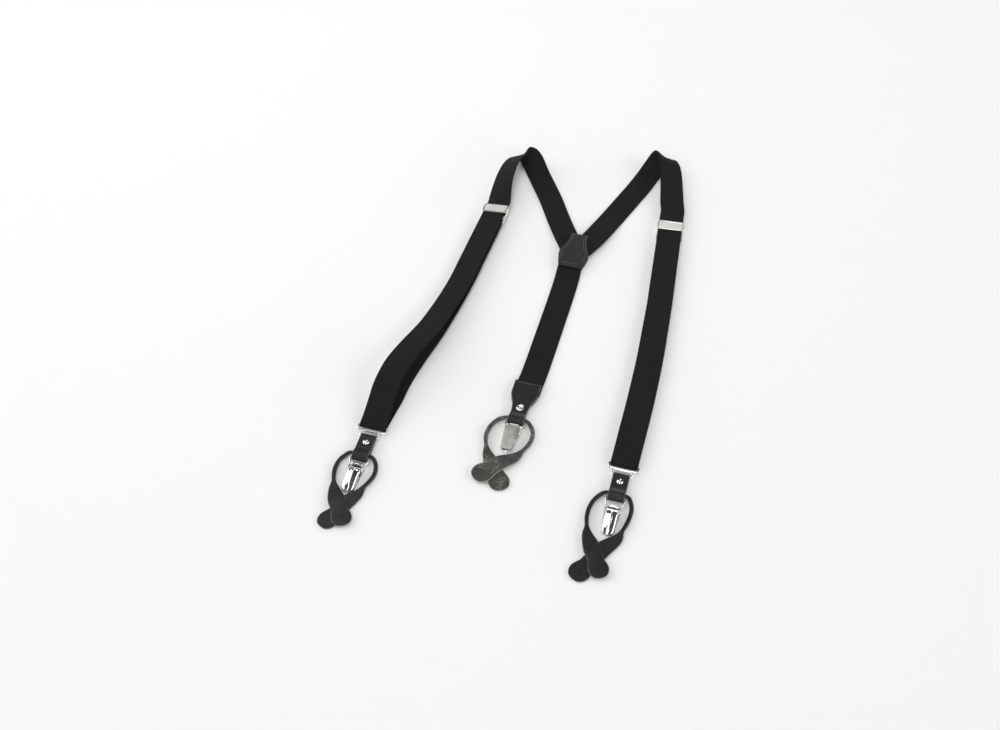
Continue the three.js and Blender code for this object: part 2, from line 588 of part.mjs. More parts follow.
function clip(parent, side, barrelY, flipped) {
  const group = new THREE.Group();
  group.position.set(0, barrelY, flipped ? CLIP_HEIGHT : 0);
  if (flipped) group.rotation.y = Math.PI;
  parent.add(group);
  const bore = rod(-20, 20, 0, BARREL_Z, BAIL_WIRE + GAP);
  const pinBore = rod(-20, 20, PIN_Y, PIN_Z, PIN_RADIUS + GAP, 12);
  const outline = new THREE.Shape();
  outline.moveTo(-5, 0);
  outline.lineTo(5, 0);
  outline.lineTo(6.9, -2.4);
  outline.lineTo(6.9, -8.5);
  outline.lineTo(5.5, PLATE_TIP + 2.6);
  outline.lineTo(4.1, PLATE_TIP + 0.5);
  outline.lineTo(2.6, PLATE_TIP);
  outline.lineTo(-2.6, PLATE_TIP);
  outline.lineTo(-4.1, PLATE_TIP + 0.5);
  outline.lineTo(-5.5, PLATE_TIP + 2.6);
  outline.lineTo(-6.9, -8.5);
  outline.lineTo(-6.9, -2.4);
  const ear = [[-2.6, 0.3], [-8.2, 0.3], [-7.4, 5.6], [-5.2, 6.6], [-3, 5.6]];
  const plate = join([
    planPlate(outline, 0.3, 1.2),
    rod(-4.6, 4.6, 0, BARREL_Z, 2.1),
    sidePlate(ear, -7.2, -6.3),
    sidePlate(ear, 6.3, 7.2),
  ]);
  mesh(group, `${side}_clip_back_plate`, cut(plate, [bore, pinBore]), satin);
  mesh(group, `${side}_clip_pin`, rod(-7.7, 7.7, PIN_Y, PIN_Z, PIN_RADIUS, 12), nickel);
  mesh(group, `${side}_clip_grip_pad`, box(-4.4, 4.4, CLIP_TIP + 1.4, CLIP_TIP + 8, 1.5, 2.1), plastic);
  const jaw = join([
    box(-4.2, 4.2, CLIP_TIP + 1.9, -3.6, 2.5, 3.2),
    box(-4.2, 4.2, CLIP_TIP + 1.9, CLIP_TIP + 2.6, 2.4, 3.6),
  ]);
  mesh(group, `${side}_clip_jaw`, jaw, nickel);
  // the lever: a domed cover open below, turning on the pin
  const crown = [
    [PIN_Y + 0.2, PIN_Z + KNUCKLE],
    [-9, 7.6],
    [-14, 8.4],
    [-20, 8.3],
    [-25, 7.3],
    [-28.4, 5.2],
    [-29.3, 3],
    [-29.3, 1.5],
    [-12, 1.5],
    [PIN_Y - 2.4, 2.9],
    [PIN_Y, PIN_Z - KNUCKLE],
  ];
  const plan = new THREE.Shape();
  plan.moveTo(-LEVER_HALF, 0);
  plan.lineTo(LEVER_HALF, 0);
  plan.lineTo(LEVER_HALF, -22.5);
  plan.bezierCurveTo(5.8, -27.6, 3.9, -29.4, 0, -29.4);
  plan.bezierCurveTo(-3.9, -29.4, -5.8, -27.6, -LEVER_HALF, -22.5);
  const knuckle = rod(-LEVER_HALF, LEVER_HALF, PIN_Y, PIN_Z, KNUCKLE);
  const outer = solid(sidePlate(crown, -LEVER_HALF, LEVER_HALF)).intersect(solid(planPlate(plan, 0, 12))).add(solid(knuckle));
  const inside = [
    [PIN_Y - 0.4, PIN_Z - 4],
    [PIN_Y - 2.9, PIN_Z + 0.6],
    [-9, 6.5],
    [-14, 7.3],
    [-20, 7.2],
    [-24.5, 6.2],
    [-27, 4.4],
    [-27.6, 0],
  ];
  const hollow = solid(sidePlate(inside, -LEVER_INSIDE, LEVER_INSIDE));
  const slot = solid(box(-LEVER_INSIDE, LEVER_INSIDE, -12, PIN_Y + 4, 0, PIN_Z - 1.15));
  const middle = solid(rod(-LEVER_INSIDE, LEVER_INSIDE, PIN_Y, PIN_Z, KNUCKLE + 0.2, 16));
  const lever = [hollow, slot, middle, solid(pinBore)].reduce((a, b) => a.subtract(b), outer);
  mesh(group, `${side}_clip_lever`, surface(lever), nickel);
}

// a button runner: a rolled cord that runs through the leather fold, flattening into two crossed tabs
// that end in round lobes with buttonholes
const TAB_START = 9.5; // width where the cord has begun to flatten
function runner(group, side, shape) {
  const d = 2 * CORD_RADIUS;
  const z = CORD_RADIUS + FLOOR;
  const flat = 1.6;
  const { leftSide, rightSide, leftTab, rightTab, leftLobe, rightLobe, overTab } = shape;
  const overZ = [2.6, 4, 3.3];
  const underZ = [1.4, 1.2, 1.2];
  const level = (tab) => (tab === overTab ? overZ : underZ);
  // from one lobe's far edge to its tab, in order
  function tail(lobe, tab, heights, reach) {
    const [cx, cy, r] = lobe;
    const from = new THREE.Vector2(tab[1][0], tab[1][1]);
    const to = new THREE.Vector2(cx, cy);
    const along = to.clone().sub(from).normalize();
    const at = (s) => [cx + along.x * r * s, cy + along.y * r * s];
    const normal = [-along.y, along.x, 0];
    const sideways = normal[0] > 0 ? normal : normal.map((v) => -v);
    const rim = (s, w) => [...at(s), heights[2], sideways, 2 * r * w, flat];
    return [
      rim(1, 0.12),
      rim(0.94, 0.42),
      rim(0.7, 0.75),
      rim(0.35, 0.95),
      rim(0, 1),
      rim(-0.45, 0.9),
      rim(-0.9, 0.77),
      [...tab[1], heights[1], sideways, 15.4, flat],
      [...tab[0], heights[0], sideways, reach, 2.6],
    ];
  }
  const rightCross = tail(leftLobe, rightTab, level('right'), TAB_START);
  const leftCross = tail(rightLobe, leftTab, level('left'), TAB_START);
  const cord = (p, across) => [...p, z, across, d, d];
  const core = d - GAP; // the cord is pressed thinner where it passes through the fold
  const loop = [
    ...rightSide.map((p) => cord(p, [1, 0.1, 0])),
    [11.2, CORD_Y - 0.9, FOLD_Z - 0.3, [0.6, 0.8, 0], core, core],
    [8.2, CORD_Y, FOLD_Z, [0, 1, 0], core, core],
    [0, CORD_Y, FOLD_Z, [0, 1, 0], core, core],
    [-8.2, CORD_Y, FOLD_Z, [0, 1, 0], core, core],
    [-11.2, CORD_Y - 0.9, FOLD_Z - 0.3, [-0.6, 0.8, 0], core, core],
    ...leftSide.map((p) => cord(p, [-1, 0.1, 0])),
  ];
  const back = leftCross.reverse().map((s) => [s[0], s[1], s[2], s[3].map((v) => -v), s[4], s[5]]);
  const body = ribbon([...rightCross, ...loop, ...back], 72, roundSection);
  const slit = ([cx, cy]) => box(-0.5, 0.5, -5, 5, -2, 9).rotateZ(-0.5).translate(cx, cy, 0);
  mesh(group, `${side}_button_runner`, cut(body, [slit(leftLobe), slit(rightLobe)]), leather);
}

const runners = {
  left: {
    rightSide: [[13.4, -27], [16.4, -20], [17.9, -12.5], [16.9, -5], [14.4, 0.3]],
    leftSide: [[-14.2, 0.4], [-17, -5], [-18.2, -12.5], [-17.2, -20.5], [-14.6, -28]],
    rightTab: [[10.6, -35.4], [3, -46.8]],
    leftTab: [[-11.4, -35.5], [-5, -46.5]],
    leftLobe: [-5.6, -66.5, 9],
    rightLobe: [5.2, -62, 9],
    overTab: 'left',
  },
  right: {
    rightSide: [[12.2, -30.6], [14.3, -23], [15.6, -15], [15.6, -7], [13.8, -0.6]],
    leftSide: [[-14.6, 0.2], [-18.4, -6.5], [-20.4, -15], [-20.4, -24], [-18.4, -33]],
    rightTab: [[9.8, -38.6], [-0.4, -52]],
    leftTab: [[-16, -41.5], [-9, -54.5]],
    leftLobe: [-14, -77.4, 9.6],
    rightLobe: [0.4, -71.8, 9],
    overTab: 'left',
  },
  rear: {
    rightSide: [[14.4, -27.5], [17.6, -20.5], [19, -12.5], [17.8, -5], [14.6, 0.6]],
    leftSide: [[-15, 1.6], [-19.6, -4.6], [-22.2, -13], [-22, -22], [-19.2, -30.5]],
    rightTab: [[9.8, -36.6], [-2.6, -47.4]],
    leftTab: [[-15.4, -39], [-7.6, -49.5]],
    leftLobe: [-13.6, -60.4, 10],
    rightLobe: [2.2, -64.4, 9.6],
    overTab: 'right',
  },
};

function endFitting(side, place, rear) {
  const group = new THREE.Group();
  group.position.set(place[0], place[1], 0);
  suspenders.add(group);
  const barrelY = { left: -6.6, right: -8.4, rear: -6 }[side];
  bail(group, side, barrelY, rear ? CLIP_HEIGHT - BARREL_Z : BARREL_Z);
  clip(group, side, barrelY, rear);
  runner(group, side, runners[side]);
  if (rear) {
    rearTab(group);
    rivet(group, side, false, 4.9, REAR_BACK - LEATHER / 2);
  } else {
    strapRing(group, side);
    frontTab(group, side);
    rivet(group, side, true, TAB_FRONT + LEATHER / 2, TAB_BACK - LEATHER / 2);
  }
}

endFitting('left', LEFT_END, false);
endFitting('right', RIGHT_END, false);
endFitting('rear', REAR_END, true);

export default suspenders;
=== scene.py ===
# %% [markdown]
# # Convertible suspenders, laid out on a table
# A rear strap and two shoulder straps meet under a leather back patch. Each shoulder strap rolls over
# once, comes down through a sliding adjuster, turns round a wire ring and goes back up to the adjuster.
# Every end has a leather tab, a lever clip, and a leather cord with two buttonholed tabs. The packed
# model comes first, because every piece is placed by it.

# %% The frame
import math

import bmesh
import bpy
import numpy as np
from mathutils import Euler, Matrix, Vector


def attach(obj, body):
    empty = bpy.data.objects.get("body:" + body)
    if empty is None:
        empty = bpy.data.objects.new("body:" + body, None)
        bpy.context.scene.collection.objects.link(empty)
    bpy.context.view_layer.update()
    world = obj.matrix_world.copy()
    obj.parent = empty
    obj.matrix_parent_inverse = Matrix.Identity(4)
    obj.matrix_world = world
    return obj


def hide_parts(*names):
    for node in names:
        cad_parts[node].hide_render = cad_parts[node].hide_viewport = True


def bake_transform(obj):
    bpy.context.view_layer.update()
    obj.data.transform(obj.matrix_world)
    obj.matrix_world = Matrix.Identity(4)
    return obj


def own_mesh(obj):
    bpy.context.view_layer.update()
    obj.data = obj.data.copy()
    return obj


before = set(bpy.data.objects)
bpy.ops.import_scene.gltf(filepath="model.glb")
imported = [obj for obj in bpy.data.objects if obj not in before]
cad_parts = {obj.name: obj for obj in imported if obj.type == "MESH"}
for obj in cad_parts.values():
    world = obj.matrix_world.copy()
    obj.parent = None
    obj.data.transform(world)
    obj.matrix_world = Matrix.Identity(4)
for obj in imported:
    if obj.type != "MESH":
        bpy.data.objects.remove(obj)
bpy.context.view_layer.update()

MM = 0.001

# %% [markdown]
# ## Camera
# The view is from a tripod, half way between the front and the top. A 43 mm lens on a full-frame sensor
# keeps the far shoulders only a little smaller than the near clips.

# %% Camera
camera_data = bpy.data.cameras.new("camera")
camera_data.lens = 43.2
camera_data.sensor_width = 36
camera = bpy.data.objects.new("camera", camera_data)
camera.location = (0.1585, -0.8612, 0.8932)
camera.rotation_euler = Euler((math.radians(39), 0, math.radians(15.5)))
bpy.context.scene.collection.objects.link(camera)
bpy.context.scene.camera = camera
bpy.context.scene.view_settings.view_transform = "Standard"

# %% [markdown]
# ## A helper for materials
# Every finish is a small net of nodes. One function adds a node, sets what it is told and makes the
# links, and a few short ones build on it, so that each material reads as a list of what it is made of.
# Colours are written as sRGB hex and turned to the linear values that Blender's sockets expect.

# %% Nodes and colours


def srgb(code):
    """An sRGB hex colour as linear red, green, blue and alpha."""
    values = [int(code[i : i + 2], 16) / 255 for i in (1, 3, 5)]
    linear = [v / 12.92 if v <= 0.04045 else ((v + 0.055) / 1.055) ** 2.4 for v in values]
    return (*linear, 1.0)


def add(material, kind, settings=None, inputs=None):
    """Add a shader node. settings are its properties; inputs are values, or sockets to link from."""
    tree = material.node_tree
    made = tree.nodes.new("ShaderNode" + kind)
    for name, value in (settings or {}).items():
        setattr(made, name, value)
    for name, value in (inputs or {}).items():
        if isinstance(value, bpy.types.NodeSocket):
            tree.links.new(value, made.inputs[name])
        else:
            made.inputs[name].default_value = value
    return made


def new_material(name):
    """A new material with an empty node tree."""
    material = bpy.data.materials.new(name)
    material.use_nodes = True
    material.node_tree.nodes.clear()
    return material


def output(material, surface):
    add(material, "OutputMaterial", inputs={"Surface": surface.outputs[0]})
    return material


def maths(material, operation, *values):
    """The result of a maths node."""
    return add(material, "Math", {"operation": operation}, dict(enumerate(values))).outputs[0]


def ramp(material, value, *stops):
    """A colour ramp through (position, colour) stops; a colour is a hex code or a linear grey."""
    made = add(material, "ValToRGB", inputs={"Fac": value})
    elements = made.color_ramp.elements
    for i, (position, colour) in enumerate(stops):
        element = elements[i] if i < 2 else elements.new(position)
        element.position = position
        element.color = srgb(colour) if isinstance(colour, str) else (colour, colour, colour, 1)
    return made.outputs[0]


def noise(material, vector, scale, detail, roughness=0.5):
    return add(material, "TexNoise", inputs={
        "Vector": vector, "Scale": scale, "Detail": detail, "Roughness": roughness}).outputs["Fac"]


def spread(material, value, low, high, to_low, to_high):
    """A value between low and high, spread over another range."""
    return add(material, "MapRange", inputs={
        "Value": value, "From Min": low, "From Max": high, "To Min": to_low, "To Max": to_high}).outputs[0]


def coat(material, colour, roughness, height, strength, depth, **inputs):
    """Close a material with a shader whose surface is raised by height; depth is in millimetres."""
    bump = add(material, "Bump", inputs={"Strength": strength, "Distance": depth * MM, "Height": height})
    names = {key.replace("_", " "): value for key, value in inputs.items()}
    return output(material, add(material, "BsdfPrincipled", inputs={
        "Base Color": colour, "Roughness": roughness, "Normal": bump.outputs[0], **names}))


# %% [markdown]
# ## Elastic webbing
# The straps are woven elastic: black polyester threads over rubber cores. Woven on a narrow loom it has
# fine ribs across its width and a firm selvedge on each side. Polyester scatters light at grazing
# angles, which the sheen gives. The ribs are drawn by waves in millimetres along and across the strap,
# so they follow every bend. Real ribs are about 0.8 mm apart; here they are 1.5 mm, as finer ones would
# not show.

# %% Webbing material
RIB_SPACING = 1.5
THREAD_SPACING = 0.9
WAVE_UNIT = math.pi / 10  # Blender's band texture repeats every WAVE_UNIT / scale


def wave(material, uv, direction, spacing, distortion, finer):
    """Ripples across X or Y, spacing millimetres apart."""
    settings = {"wave_type": "BANDS", "bands_direction": direction}
    return add(material, "TexWave", settings, {
        "Vector": uv, "Scale": WAVE_UNIT / spacing, "Distortion": distortion, "Detail": 1,
        "Detail Scale": finer}).outputs["Fac"]


def woven(name, dark, light):
    m = new_material(name)
    uv = add(m, "UVMap", {"uv_map": "weave"}).outputs[0]
    ribs = wave(m, uv, "Y", RIB_SPACING, 0.35, 1.5)
    threads = wave(m, uv, "X", THREAD_SPACING, 0.6, 2)
    weave = maths(m, "MULTIPLY", ribs, threads)
    fuzz, drift = noise(m, uv, 2.2, 4, 0.65), noise(m, uv, 0.06, 2)
    shade = maths(m, "MULTIPLY_ADD", drift, 0.5, maths(m, "MULTIPLY_ADD", fuzz, 0.5, weave))
    colour = ramp(m, shade, (0.25, dark), (1.25, light))
    height = maths(m, "MULTIPLY_ADD", fuzz, 0.45, weave)
    return coat(m, colour, 0.85, height, 0.75, 0.25, IOR=1.5, Specular_IOR_Level=0.16, Sheen_Weight=0.07,
                Sheen_Roughness=0.4, Sheen_Tint=srgb("#8c8c8c"))


WEBBING = woven("elastic_webbing", "#0f0f0f", "#1f1f1f")

# %% [markdown]
# ## Leather
# The patch, tabs and cords are black cowhide. The grain side is pigmented and waxed: a soft shine,
# broken up by pores under a millimetre wide and by a few longer creases. The rear cord was cut with its
# flesh side out, a short grey nap with almost no shine. Grain comes from cell noise scaled in
# millimetres, and the cells are drawn a little larger than life. A paler line is painted along the
# edges of each strip: a painted highlight, for the light that their rounded edges catch.

# %% Leather materials
GRAIN_WIDTH = 0.9  # millimetres


def hide(name, dark, light, edge, roughness, depth, nap=0.0, mottle=0.35):
    m = new_material(name)
    place = add(m, "TexCoord").outputs["Object"]
    cells = add(m, "TexVoronoi", {"feature": "F1"}, {"Vector": place, "Scale": 1 / (GRAIN_WIDTH * MM)})
    pores = noise(m, place, 0.45 / (GRAIN_WIDTH * MM), 5, 0.7)
    tone = maths(m, "MULTIPLY_ADD", noise(m, place, 110, 3), mottle, pores)
    uv = add(m, "UVMap", {"uv_map": "strip"}).outputs[0]
    across = add(m, "SeparateXYZ", inputs={"Vector": uv}).outputs["X"]
    # a paler band painted next to each edge of the strip: a painted highlight
    painted_edge_highlight = spread(m, maths(m, "ABSOLUTE", across), 0.45, 0.49, 0.0, 0.4)
    colour = ramp(m, maths(m, "ADD", tone, painted_edge_highlight), (0.4, dark), (0.85, light), (1.0, edge))
    height = maths(m, "MULTIPLY_ADD", pores, 0.8, cells.outputs["Distance"])
    rough = spread(m, pores, 0.3, 0.7, roughness - 0.07, roughness + 0.1)
    return coat(m, colour, rough, height, depth, 0.15, IOR=1.5, Specular_IOR_Level=0.3, Sheen_Weight=nap,
                Sheen_Roughness=0.5)


# The third colour of each hide is its painted edge highlight.
GRAIN_LEATHER = hide("cowhide_grain_side", "#0d0d0c", "#1f1f1d", "#62625e", 0.34, 0.5)
PATCH_LEATHER = hide("cowhide_patch", "#0e0e0d", "#2a2a27", "#3a3a36", 0.46, 1.0)
SUEDE = hide("cowhide_flesh_side", "#0c0c0b", "#4c4c48", "#83837c", 0.92, 1.0, nap=0.05, mottle=0.6)

# %% [markdown]
# ## Nickel plate, thread and moulded plastic
# The fittings are stamped steel with a bright nickel plate. Polished pieces are nearly mirrors, with
# faint hairlines from the buffing wheel. The adjuster's face and the clip's back were brushed before
# plating, so their hairlines are deeper and all run one way. Their plate is the same, but the adjuster's
# face is painted paler, as painted light, and the clip's back grey, as painted shade. The stitching is
# bonded nylon and the clip's pad is ABS.

# %% Metal, thread and plastic materials
HAIRLINE = 0.35  # millimetres between hairlines


def plated(name, dark, light, roughness, depth, stretch):
    m = new_material(name)
    place = add(m, "TexCoord").outputs["Object"]
    lines = add(m, "Mapping", inputs={"Vector": place, "Scale": (1.0, 1.0 / stretch, 1.0)}).outputs[0]
    brushed = noise(m, lines, 1 / (HAIRLINE * MM), 2)
    colour = ramp(m, noise(m, place, 140, 3), (0.3, dark), (0.7, light))
    rough = spread(m, brushed, 0.0, 1.0, roughness * 0.7, roughness * 1.4)
    return coat(m, colour, rough, brushed, depth, 0.02, Metallic=1.0)


POLISHED_NICKEL = plated("nickel_plate_polished", "#dcdcd8", "#f0f0ec", 0.1, 0.15, 4)
# The same brushed plate twice: paler colours as painted light on the adjuster's face, grey ones as painted
# shade on the clip's back.
PAINTED_LIGHT_BRUSHED_NICKEL = plated("nickel_plate_brushed_painted_light", "#f0f0ea", "#fafaf6", 0.5, 0.6, 14)
PAINTED_SHADE_BRUSHED_NICKEL = plated("nickel_plate_brushed_painted_shade", "#9a9a96", "#c4c4c0", 0.45, 1.0, 14)


def moulded(name, dark, light, roughness, spacing):
    m = new_material(name)
    texture = noise(m, add(m, "TexCoord").outputs["Object"], 1 / (spacing * MM), 3)
    colour = ramp(m, texture, (0.3, dark), (0.7, light))
    return coat(m, colour, roughness, texture, 0.4, 0.04, IOR=1.53)


ABS = moulded("abs_grip_pad", "#131313", "#1f1f1f", 0.55, 0.5)
THREAD = moulded("bonded_nylon_thread", "#34342f", "#5c5c56", 0.5, 0.25)

# %% [markdown]
# ## Smooth lines through a few points
# Straps, cords and wires are all swept along a curve. A centripetal Catmull-Rom curve goes through every
# point that it is given and never loops between close points. Each station carries more than a place:
# the direction across the strap, its width and its thickness, so a strap can lean and a tab can widen.

# %% Curves and sections
X_AXIS = (1, 0, 0)
STRAP_WIDTH = 25
WEB = 1.4
LEATHER = 1.4


def smooth(values, per_span, closed=False):
    """Rows of numbers along a centripetal Catmull-Rom curve; the first three are a place."""
    rows = np.array(values, float)
    count = len(rows)
    out = []
    for i in range(count if closed else count - 1):
        p1, p2 = rows[i], rows[(i + 1) % count]
        p0 = rows[i - 1] if closed or i else 2 * p1 - p2
        p3 = rows[(i + 2) % count] if closed or i + 2 < count else 2 * p2 - p1
        a, b, c = (max(np.linalg.norm((q - p)[:3]), 1e-4) ** 0.5 for p, q in ((p0, p1), (p1, p2), (p2, p3)))
        m1 = ((p1 - p0) / a - (p2 - p0) / (a + b) + (p2 - p1) / b) * b
        m2 = ((p2 - p1) / b - (p3 - p1) / (b + c) + (p3 - p2) / c) * b
        for t in np.arange(per_span) / per_span:
            h = (2 * t**3 - 3 * t**2 + 1, t**3 - 2 * t**2 + t, 3 * t**2 - 2 * t**3, t**3 - t**2)
            out.append(h[0] * p1 + h[1] * m1 + h[2] * p2 + h[3] * m2)
    if not closed:
        out.append(rows[-1])
    return np.array(out)


def unit(v):
    return v / np.linalg.norm(v)


def station(x, y, z, across=X_AXIS, width=STRAP_WIDTH, thickness=WEB, shape=0.0):
    return (x, y, z, *across, width, thickness, shape)


def flat_section(edge=0.05, rows=12):
    """A strap's section in shares of its width and thickness: flat faces and round edges."""
    right = [(0.5 - edge + edge * math.sin(t), 0.5 * math.cos(t)) for t in np.radians((145, 110, 70, 35))]
    bottom = [(a, -0.5) for a in np.linspace(edge - 0.5, 0.5 - edge, rows)]
    top = [(-a, 0.5) for a, _ in bottom]
    left = [(-a, -b) for a, b in right]
    return [*bottom, *right, *top, *left]


def sweep(stations, section, per_span=6, closed=False):
    """Sweep a section along stations. Returns vertices, faces and the weave's place in millimetres."""
    rows = smooth(stations, per_span, closed)
    count = len(rows)
    places = rows[:, :3]
    vertices, weave = [], []
    travelled = 0.0
    for i in range(count):
        before = places[i - 1] if closed or i else places[i]
        after = places[(i + 1) % count] if closed or i + 1 < count else places[i]
        along = unit(after - before)
        side = rows[i, 3:6]
        side = unit(side - along * (side @ along))
        up = np.cross(side, along)
        width, thickness, shape = rows[i, 6:9]
        if i:
            travelled += np.linalg.norm(places[i] - places[i - 1])
        outline = section(shape) if callable(section) else section
        for a, b in outline:
            vertices.append(places[i] + side * a * width + up * b * thickness)
            weave.append((a * width, travelled))
    n = len(outline)
    faces = []
    for i in range(count if closed else count - 1):
        j = (i + 1) % count
        for k in range(n):
            k2 = (k + 1) % n
            faces.append((i * n + k, j * n + k, j * n + k2, i * n + k2))
    if not closed:
        faces.append(tuple(range(n)))
        faces.append(tuple(reversed(range((count - 1) * n, count * n))))
    return vertices, faces, weave


# %% [markdown]
# ## From shapes to pieces
# A piece is one or more closed shapes in millimetres, moved to their place, scaled to metres and made
# into a single mesh. Its sharp edges are found by angle, so flat faces stay flat and swept faces stay
# smooth. Each piece says which body it rides on, which plain solids it stands for and which finish it
# has.

# %% Making pieces


def merge(*shapes):
    """Several (vertices, faces) shapes as one."""
    vertices, faces = [], []
    for shape in shapes:
        start = len(vertices)
        vertices.extend(Vector(v) for v in shape[0])
        faces.extend(tuple(start + k for k in face) for face in shape[1])
    return vertices, faces


def moved(shape, matrix):
    return [matrix @ Vector(v) for v in shape[0]], shape[1]


def rounded(shape, radius, segments=3, angle=30):
    """The shape with its sharp edges rounded."""
    bm = bmesh.new()
    made = [bm.verts.new(v) for v in shape[0]]
    for face in shape[1]:
        bm.faces.new([made[k] for k in face])
    bmesh.ops.remove_doubles(bm, verts=bm.verts, dist=1e-4)
    bmesh.ops.recalc_face_normals(bm, faces=bm.faces)
    sharp = [e for e in bm.edges if len(e.link_faces) == 2 and e.calc_face_angle() > math.radians(angle)]
    bmesh.ops.bevel(bm, geom=sharp, offset=radius, segments=segments, profile=0.5, affect="EDGES",
                    clamp_overlap=True)
    bm.verts.index_update()
    out = [v.co.copy() for v in bm.verts], [tuple(v.index for v in f.verts) for f in bm.faces]
    bm.free()
    return out


def strip_map(vertices, section):
    """Each vertex's place across a strip, from -0.5 to 0.5, for pieces swept with one section."""
    return [(a, 0.0) for _ in range(len(vertices) // len(section)) for a, b in section]


def solid(name, shape, place):
    """A mesh object in the scene, from a shape in millimetres."""
    mesh = bpy.data.meshes.new(name)
    mesh.from_pydata([(place @ Vector(v)) * MM for v in shape[0]], [], shape[1])
    made = bpy.data.objects.new(name, mesh)
    bpy.context.scene.collection.objects.link(made)
    return made, mesh


def soften(mesh, sharp):
    """Smooth shading, apart from edges sharper than an angle in degrees."""
    mesh.polygons.foreach_set("use_smooth", [True] * len(mesh.polygons))
    mesh.set_sharp_from_angle(angle=math.radians(sharp))


def piece(name, shape, material, body, nodes=(), place=Matrix.Identity(4), slot=None, weave=None, strip=None,
          sharp=40):
    """Make a mesh object from a shape and tie it to the frame."""
    made, mesh = solid(name, shape, place)
    for layer_name, places in (("weave", weave), ("strip", strip)):
        if places is not None:
            layer = mesh.uv_layers.new(name=layer_name)
            for loop in mesh.loops:
                layer.data[loop.index].uv = places[loop.vertex_index]
    bm = bmesh.new()
    bm.from_mesh(mesh)
    bmesh.ops.recalc_face_normals(bm, faces=bm.faces)
    bm.to_mesh(mesh)
    bm.free()
    soften(mesh, sharp)
    mesh.materials.append(material)
    if body:
        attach(made, body)
    if nodes:
        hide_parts(*nodes)
    return made


def carve(made, shape, place):
    """Cut a closed shape, in millimetres, out of a piece."""
    cutter, _ = solid("cutter", shape, place)
    modifier = made.modifiers.new("cut", "BOOLEAN")
    modifier.operation = "DIFFERENCE"
    modifier.solver = "EXACT"
    modifier.object = cutter
    depsgraph = bpy.context.evaluated_depsgraph_get()
    result = bpy.data.meshes.new_from_object(made.evaluated_get(depsgraph))
    made.modifiers.remove(modifier)
    made.data = result
    bpy.data.objects.remove(cutter)
    soften(result, 40)


def fitting(side, name, shape, body, node, place, material=POLISHED_NICKEL, slot="polished_nickel", **more):
    """A piece of one end or adjuster: its name, its body's and its plain solid's all start with the side."""
    nodes = [f"{side}_{node}"] if node else ()
    return piece(f"{side}_{name}", shape, material, f"{side}_{body}", nodes, place, slot, **more)


def both_sides(make, near, far):
    """The same part made on the left and on the right, from near the middle to far from it."""
    return [make(-far, -near), make(near, far)]


def shell(upper, lower, rows):
    """Two grids of points, one over the other, as a closed sheet. Both have the same number of rows."""
    count, m = len(upper), len(upper) // rows
    faces = []
    for i in range(rows - 1):
        for k in range(m - 1):
            a, b, c, d = i * m + k, i * m + k + 1, (i + 1) * m + k + 1, (i + 1) * m + k
            faces += [(a, b, c, d), (count + d, count + c, count + b, count + a)]
        for a, b in ((i * m, (i + 1) * m), ((i + 2) * m - 1, (i + 1) * m - 1)):
            faces.append((a, b, count + b, count + a))
    for start in (0, count - m):
        for a in range(start, start + m - 1):
            faces.append((a, a + 1, count + a + 1, count + a))
    return upper + lower, faces


def prism(outline, low, high):
    """An outline in X and Y as a plate from one height to another."""
    n = len(outline)
    vertices = [(x, y, low) for x, y in outline] + [(x, y, high) for x, y in outline]
    sides = [(k, (k + 1) % n, n + (k + 1) % n, n + k) for k in range(n)]
    return vertices, [tuple(reversed(range(n))), tuple(range(n, 2 * n)), *sides]


SIDEWAYS = Matrix(((0, 0, 1, 0), (1, 0, 0, 0), (0, 1, 0, 0), (0, 0, 0, 1)))


def side_plate(profile, x0, x1):
    """A profile in Y and Z as a plate from x0 to x1."""
    return moved(prism(profile, x0, x1), SIDEWAYS)


def circle(radius, count=32, x=0.0, y=0.0):
    turns = [2 * math.pi * k / count for k in range(count)]
    return [(x + radius * math.cos(t), y + radius * math.sin(t)) for t in turns]


def rod(x0, x1, y, z, radius, count=28):
    """A round rod along X."""
    return side_plate(circle(radius, count, y, z), x0, x1)


def block(x0, x1, y0, y1, z0, z1):
    return prism([(x0, y0), (x1, y0), (x1, y1), (x0, y1)], z0, z1)


def turned(profile, count=36):
    """A profile of (radius, height) points turned about Z; it starts and ends on the axis."""
    vertices, faces = [(0, 0, profile[0][1]), (0, 0, profile[-1][1])], []
    rings = []
    for radius, height in profile[1:-1]:
        rings.append([len(vertices) + k for k in range(count)])
        vertices += [(x, y, height) for x, y in circle(radius, count)]
    for k in range(count):
        k2 = (k + 1) % count
        faces.append((0, rings[0][k2], rings[0][k]))
        faces.append((1, rings[-1][k], rings[-1][k2]))
        for low, high in zip(rings, rings[1:]):
            faces.append((low[k], low[k2], high[k2], high[k]))
    return vertices, faces


def wire(points, radius, per_span=6, closed=True, count=16):
    """A round wire through points that lie more or less flat."""
    rows = [(*p, 0, 0, 1, 2 * radius, 2 * radius, 0) for p in points]
    outline = [(x / 2, y / 2) for x, y in circle(1, count)]
    return sweep(rows, outline, per_span, closed)[:2]


# %% [markdown]
# ## Straps
# One length of webbing makes each side: it starts under the patch, rolls over at the shoulder, comes
# down through the adjuster to the ring, turns round it and goes back up. The webbing is stiff enough to
# stand on its edge where it rolls over, and the left one leans a little all the way down, with its lower
# half arched over the layer beneath. No cloth is simulated: each strap is swept through stations that
# lie along it, which sets every height and lean. When the adjuster slides, the front layer stretches
# between the strap and the turn, and the layer behind shortens towards the ring.

# %% Where the straps go
FLOOR = 0.2
RETURN_Z = FLOOR + WEB / 2
FRONT_Z = 5.5
LOW, HIGH = 2.2, 3.9
BAR_Y = 37  # the ring's wide bar above the end's leather fold
ENDS = {"left": (-126.6, -304.4), "right": (103.7, -284.7), "rear": (-2.3, -228.9)}
SLIDERS = {"left": (-94.3, 33.6), "right": (88.9, 59.4)}
SLOPES = {"left": -0.058, "right": 0.084}
BANKS = {"left": 10, "right": 0}
LIFTS = {side: STRAP_WIDTH / 2 * math.sin(math.radians(bank)) for side, bank in BANKS.items()}
LAYERS = FRONT_Z - RETURN_Z


